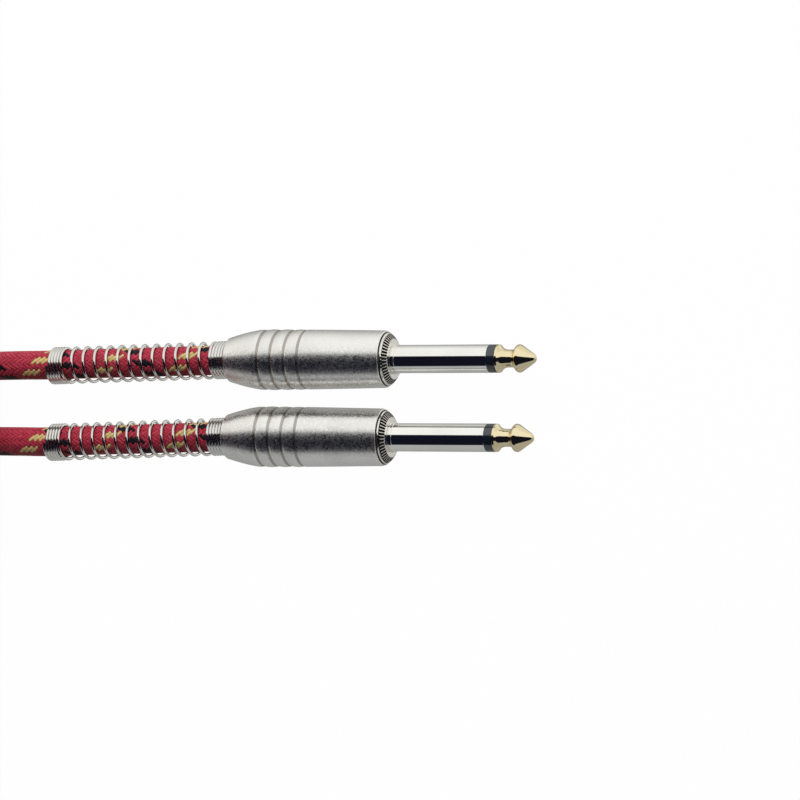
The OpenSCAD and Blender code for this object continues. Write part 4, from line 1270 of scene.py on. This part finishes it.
world = bpy.data.worlds.new("room")
world.use_nodes = True
room = world.node_tree
axes = add(room, "ShaderNodeSeparateXYZ")
join(room, add(room, "ShaderNodeTexCoord").outputs["Generated"], axes.inputs[0])
ahead, aside, up = axes.outputs
angle = calc(room, "DEGREES", calc(room, "ARCTAN2", aside, up))
under = spread(room, angle, DARK_FROM - EDGE_WIDTH / 2, DARK_FROM + EDGE_WIDTH / 2, 1.0, 0.0)
over = spread(room, angle, DARK_TO - EDGE_WIDTH / 2, DARK_TO + EDGE_WIDTH / 2)
mirrored = blend_colours(room, over, blend_colours(room, under, OPENING, SHADED), LIT)
for sign, fade in ((1, LIT_FADE), (-1, SHADED_FADE)):
    share = spread(room, calc(room, "MULTIPLY", angle, sign), FADE_FROM, FADE_TO, 1.0, fade)
    mirrored = blend_colours(room, 1.0, mirrored, vector_of(room, share, share, share), "MULTIPLY")
print("dark band from", DARK_FROM, "to", DARK_TO, "degrees round the plugs")

# %% Paint the room's two ends
BACK_TINT, BACK_FROM, BACK_TO = (0.95, 0.94, 0.93), -0.5, -0.38
LIT_END, SHADED_END, END_BLEND = srgb(240, 239, 234), srgb(176, 176, 173), 0.25
FRONT_FROM, FRONT_TO, LOW_FROM = -0.1, 0.3, -0.6

tinted = blend_colours(room, 1.0, mirrored, vector_of(room, *BACK_TINT), "MULTIPLY")
to_back = spread(room, ahead, BACK_FROM, BACK_TO, 1.0, 0.0)
mirrored = blend_colours(room, to_back, mirrored, tinted)
end = blend_colours(room, spread(room, aside, -END_BLEND, END_BLEND), SHADED_END, LIT_END)
to_end = calc(room, "MULTIPLY", spread(room, ahead, FRONT_FROM, FRONT_TO),
              spread(room, up, LOW_FROM, 0.0, 1.0, 0.0))
mirrored = blend_colours(room, to_end, mirrored, end)
print("room nodes:", len(room.nodes))

# %% [markdown]
# ## What each ray sees
#
# Only mirrored rays get that painted room. The camera itself sees plain white, and the diffuse
# light is one even grey, so that colours render about as they are written.

# %% Light the scene with the room
ROOM_EVEN = 0.24
WHITE = (1.0, 1.0, 1.0, 1.0)

ray = add(room, "ShaderNodeLightPath").outputs
shiny = calc(room, "MAXIMUM", ray["Is Glossy Ray"], ray["Is Transmission Ray"])
seen = blend_colours(room, shiny, (ROOM_EVEN,) * 3 + (1.0,), mirrored)
seen = blend_colours(room, ray["Is Camera Ray"], seen, WHITE)
background = room.nodes["Background"]
join(room, seen, background.inputs["Color"])
background.inputs["Strength"].default_value = 1.0
bpy.context.scene.world = world
bpy.context.scene.view_settings.view_transform = "Standard"
print("even light:", ROOM_EVEN)

# %% [markdown]
# ## The floor
#
# The cable lies on a white table. A plain white floor would come out grey under soft light, so
# nearly all of it glows for the camera, and the small rest is matt and keeps a trace of the
# object's shadow. To diffuse light it is a plain matt table. The metals don't mirror it: they
# see the lower half of the painted room through it.

# %% Lay the floor
FLOOR_HALF, FLOOR_Z = 2.0, -0.0004
corners = ((-1, -1), (1, -1), (1, 1), (-1, 1))
floor_mesh = bpy.data.meshes.new("floor")
floor_mesh.from_pydata([(x * FLOOR_HALF, y * FLOOR_HALF, FLOOR_Z) for x, y in corners],
                       [], [(0, 1, 2, 3)])
floor = bpy.data.objects.new("floor", floor_mesh)
bpy.context.scene.collection.objects.link(floor)
floor.visible_glossy = False
print("floor:", 2 * FLOOR_HALF, "m square")

# %% Paint the floor
GLOW_SHARE, TABLE_GREY = 0.985, (0.8, 0.8, 0.8, 1.0)
table_top = bpy.data.materials.new("white_table")
table_top.use_nodes = True
tree = table_top.node_tree
tree.nodes.clear()
matt = fed(tree, "ShaderNodeBsdfDiffuse", (TABLE_GREY,))
glow = fed(tree, "ShaderNodeEmission", (WHITE,))
ray = add(tree, "ShaderNodeLightPath").outputs
plainly = calc(tree, "MAXIMUM", calc(tree, "MAXIMUM", ray["Is Camera Ray"], ray["Is Glossy Ray"]),
               ray["Is Transmission Ray"])
both = fed(tree, "ShaderNodeMixShader", (calc(tree, "MULTIPLY", plainly, GLOW_SHARE), matt, glow))
join(tree, both, add(tree, "ShaderNodeOutputMaterial").inputs[0])
floor_mesh.materials.append(table_top)
print("the floor glows by", GLOW_SHARE)

# %% [markdown]
# ## One soft lamp
#
# The even grey of the room lights the braid from everywhere and so shows none of its weave. One
# wide, weak lamp on plug a's side gives each bundle of yarn a lit side and a shaded one.

# %% Hang the lamp
LAMP_AT = Vector((0.0, 0.55, 0.45))
lamp = bpy.data.lights.new("soft_lamp", "AREA")
lamp.shape = "RECTANGLE"
lamp.size, lamp.size_y = 0.6, 0.4
lamp.energy = 6.0
hung = bpy.data.objects.new("soft_lamp", lamp)
hung.location = LAMP_AT
hung.rotation_euler = (-LAMP_AT).to_track_quat("-Z", "Y").to_euler()
hung.visible_glossy = False
bpy.context.scene.collection.objects.link(hung)
print("lamp:", lamp.energy, "W")
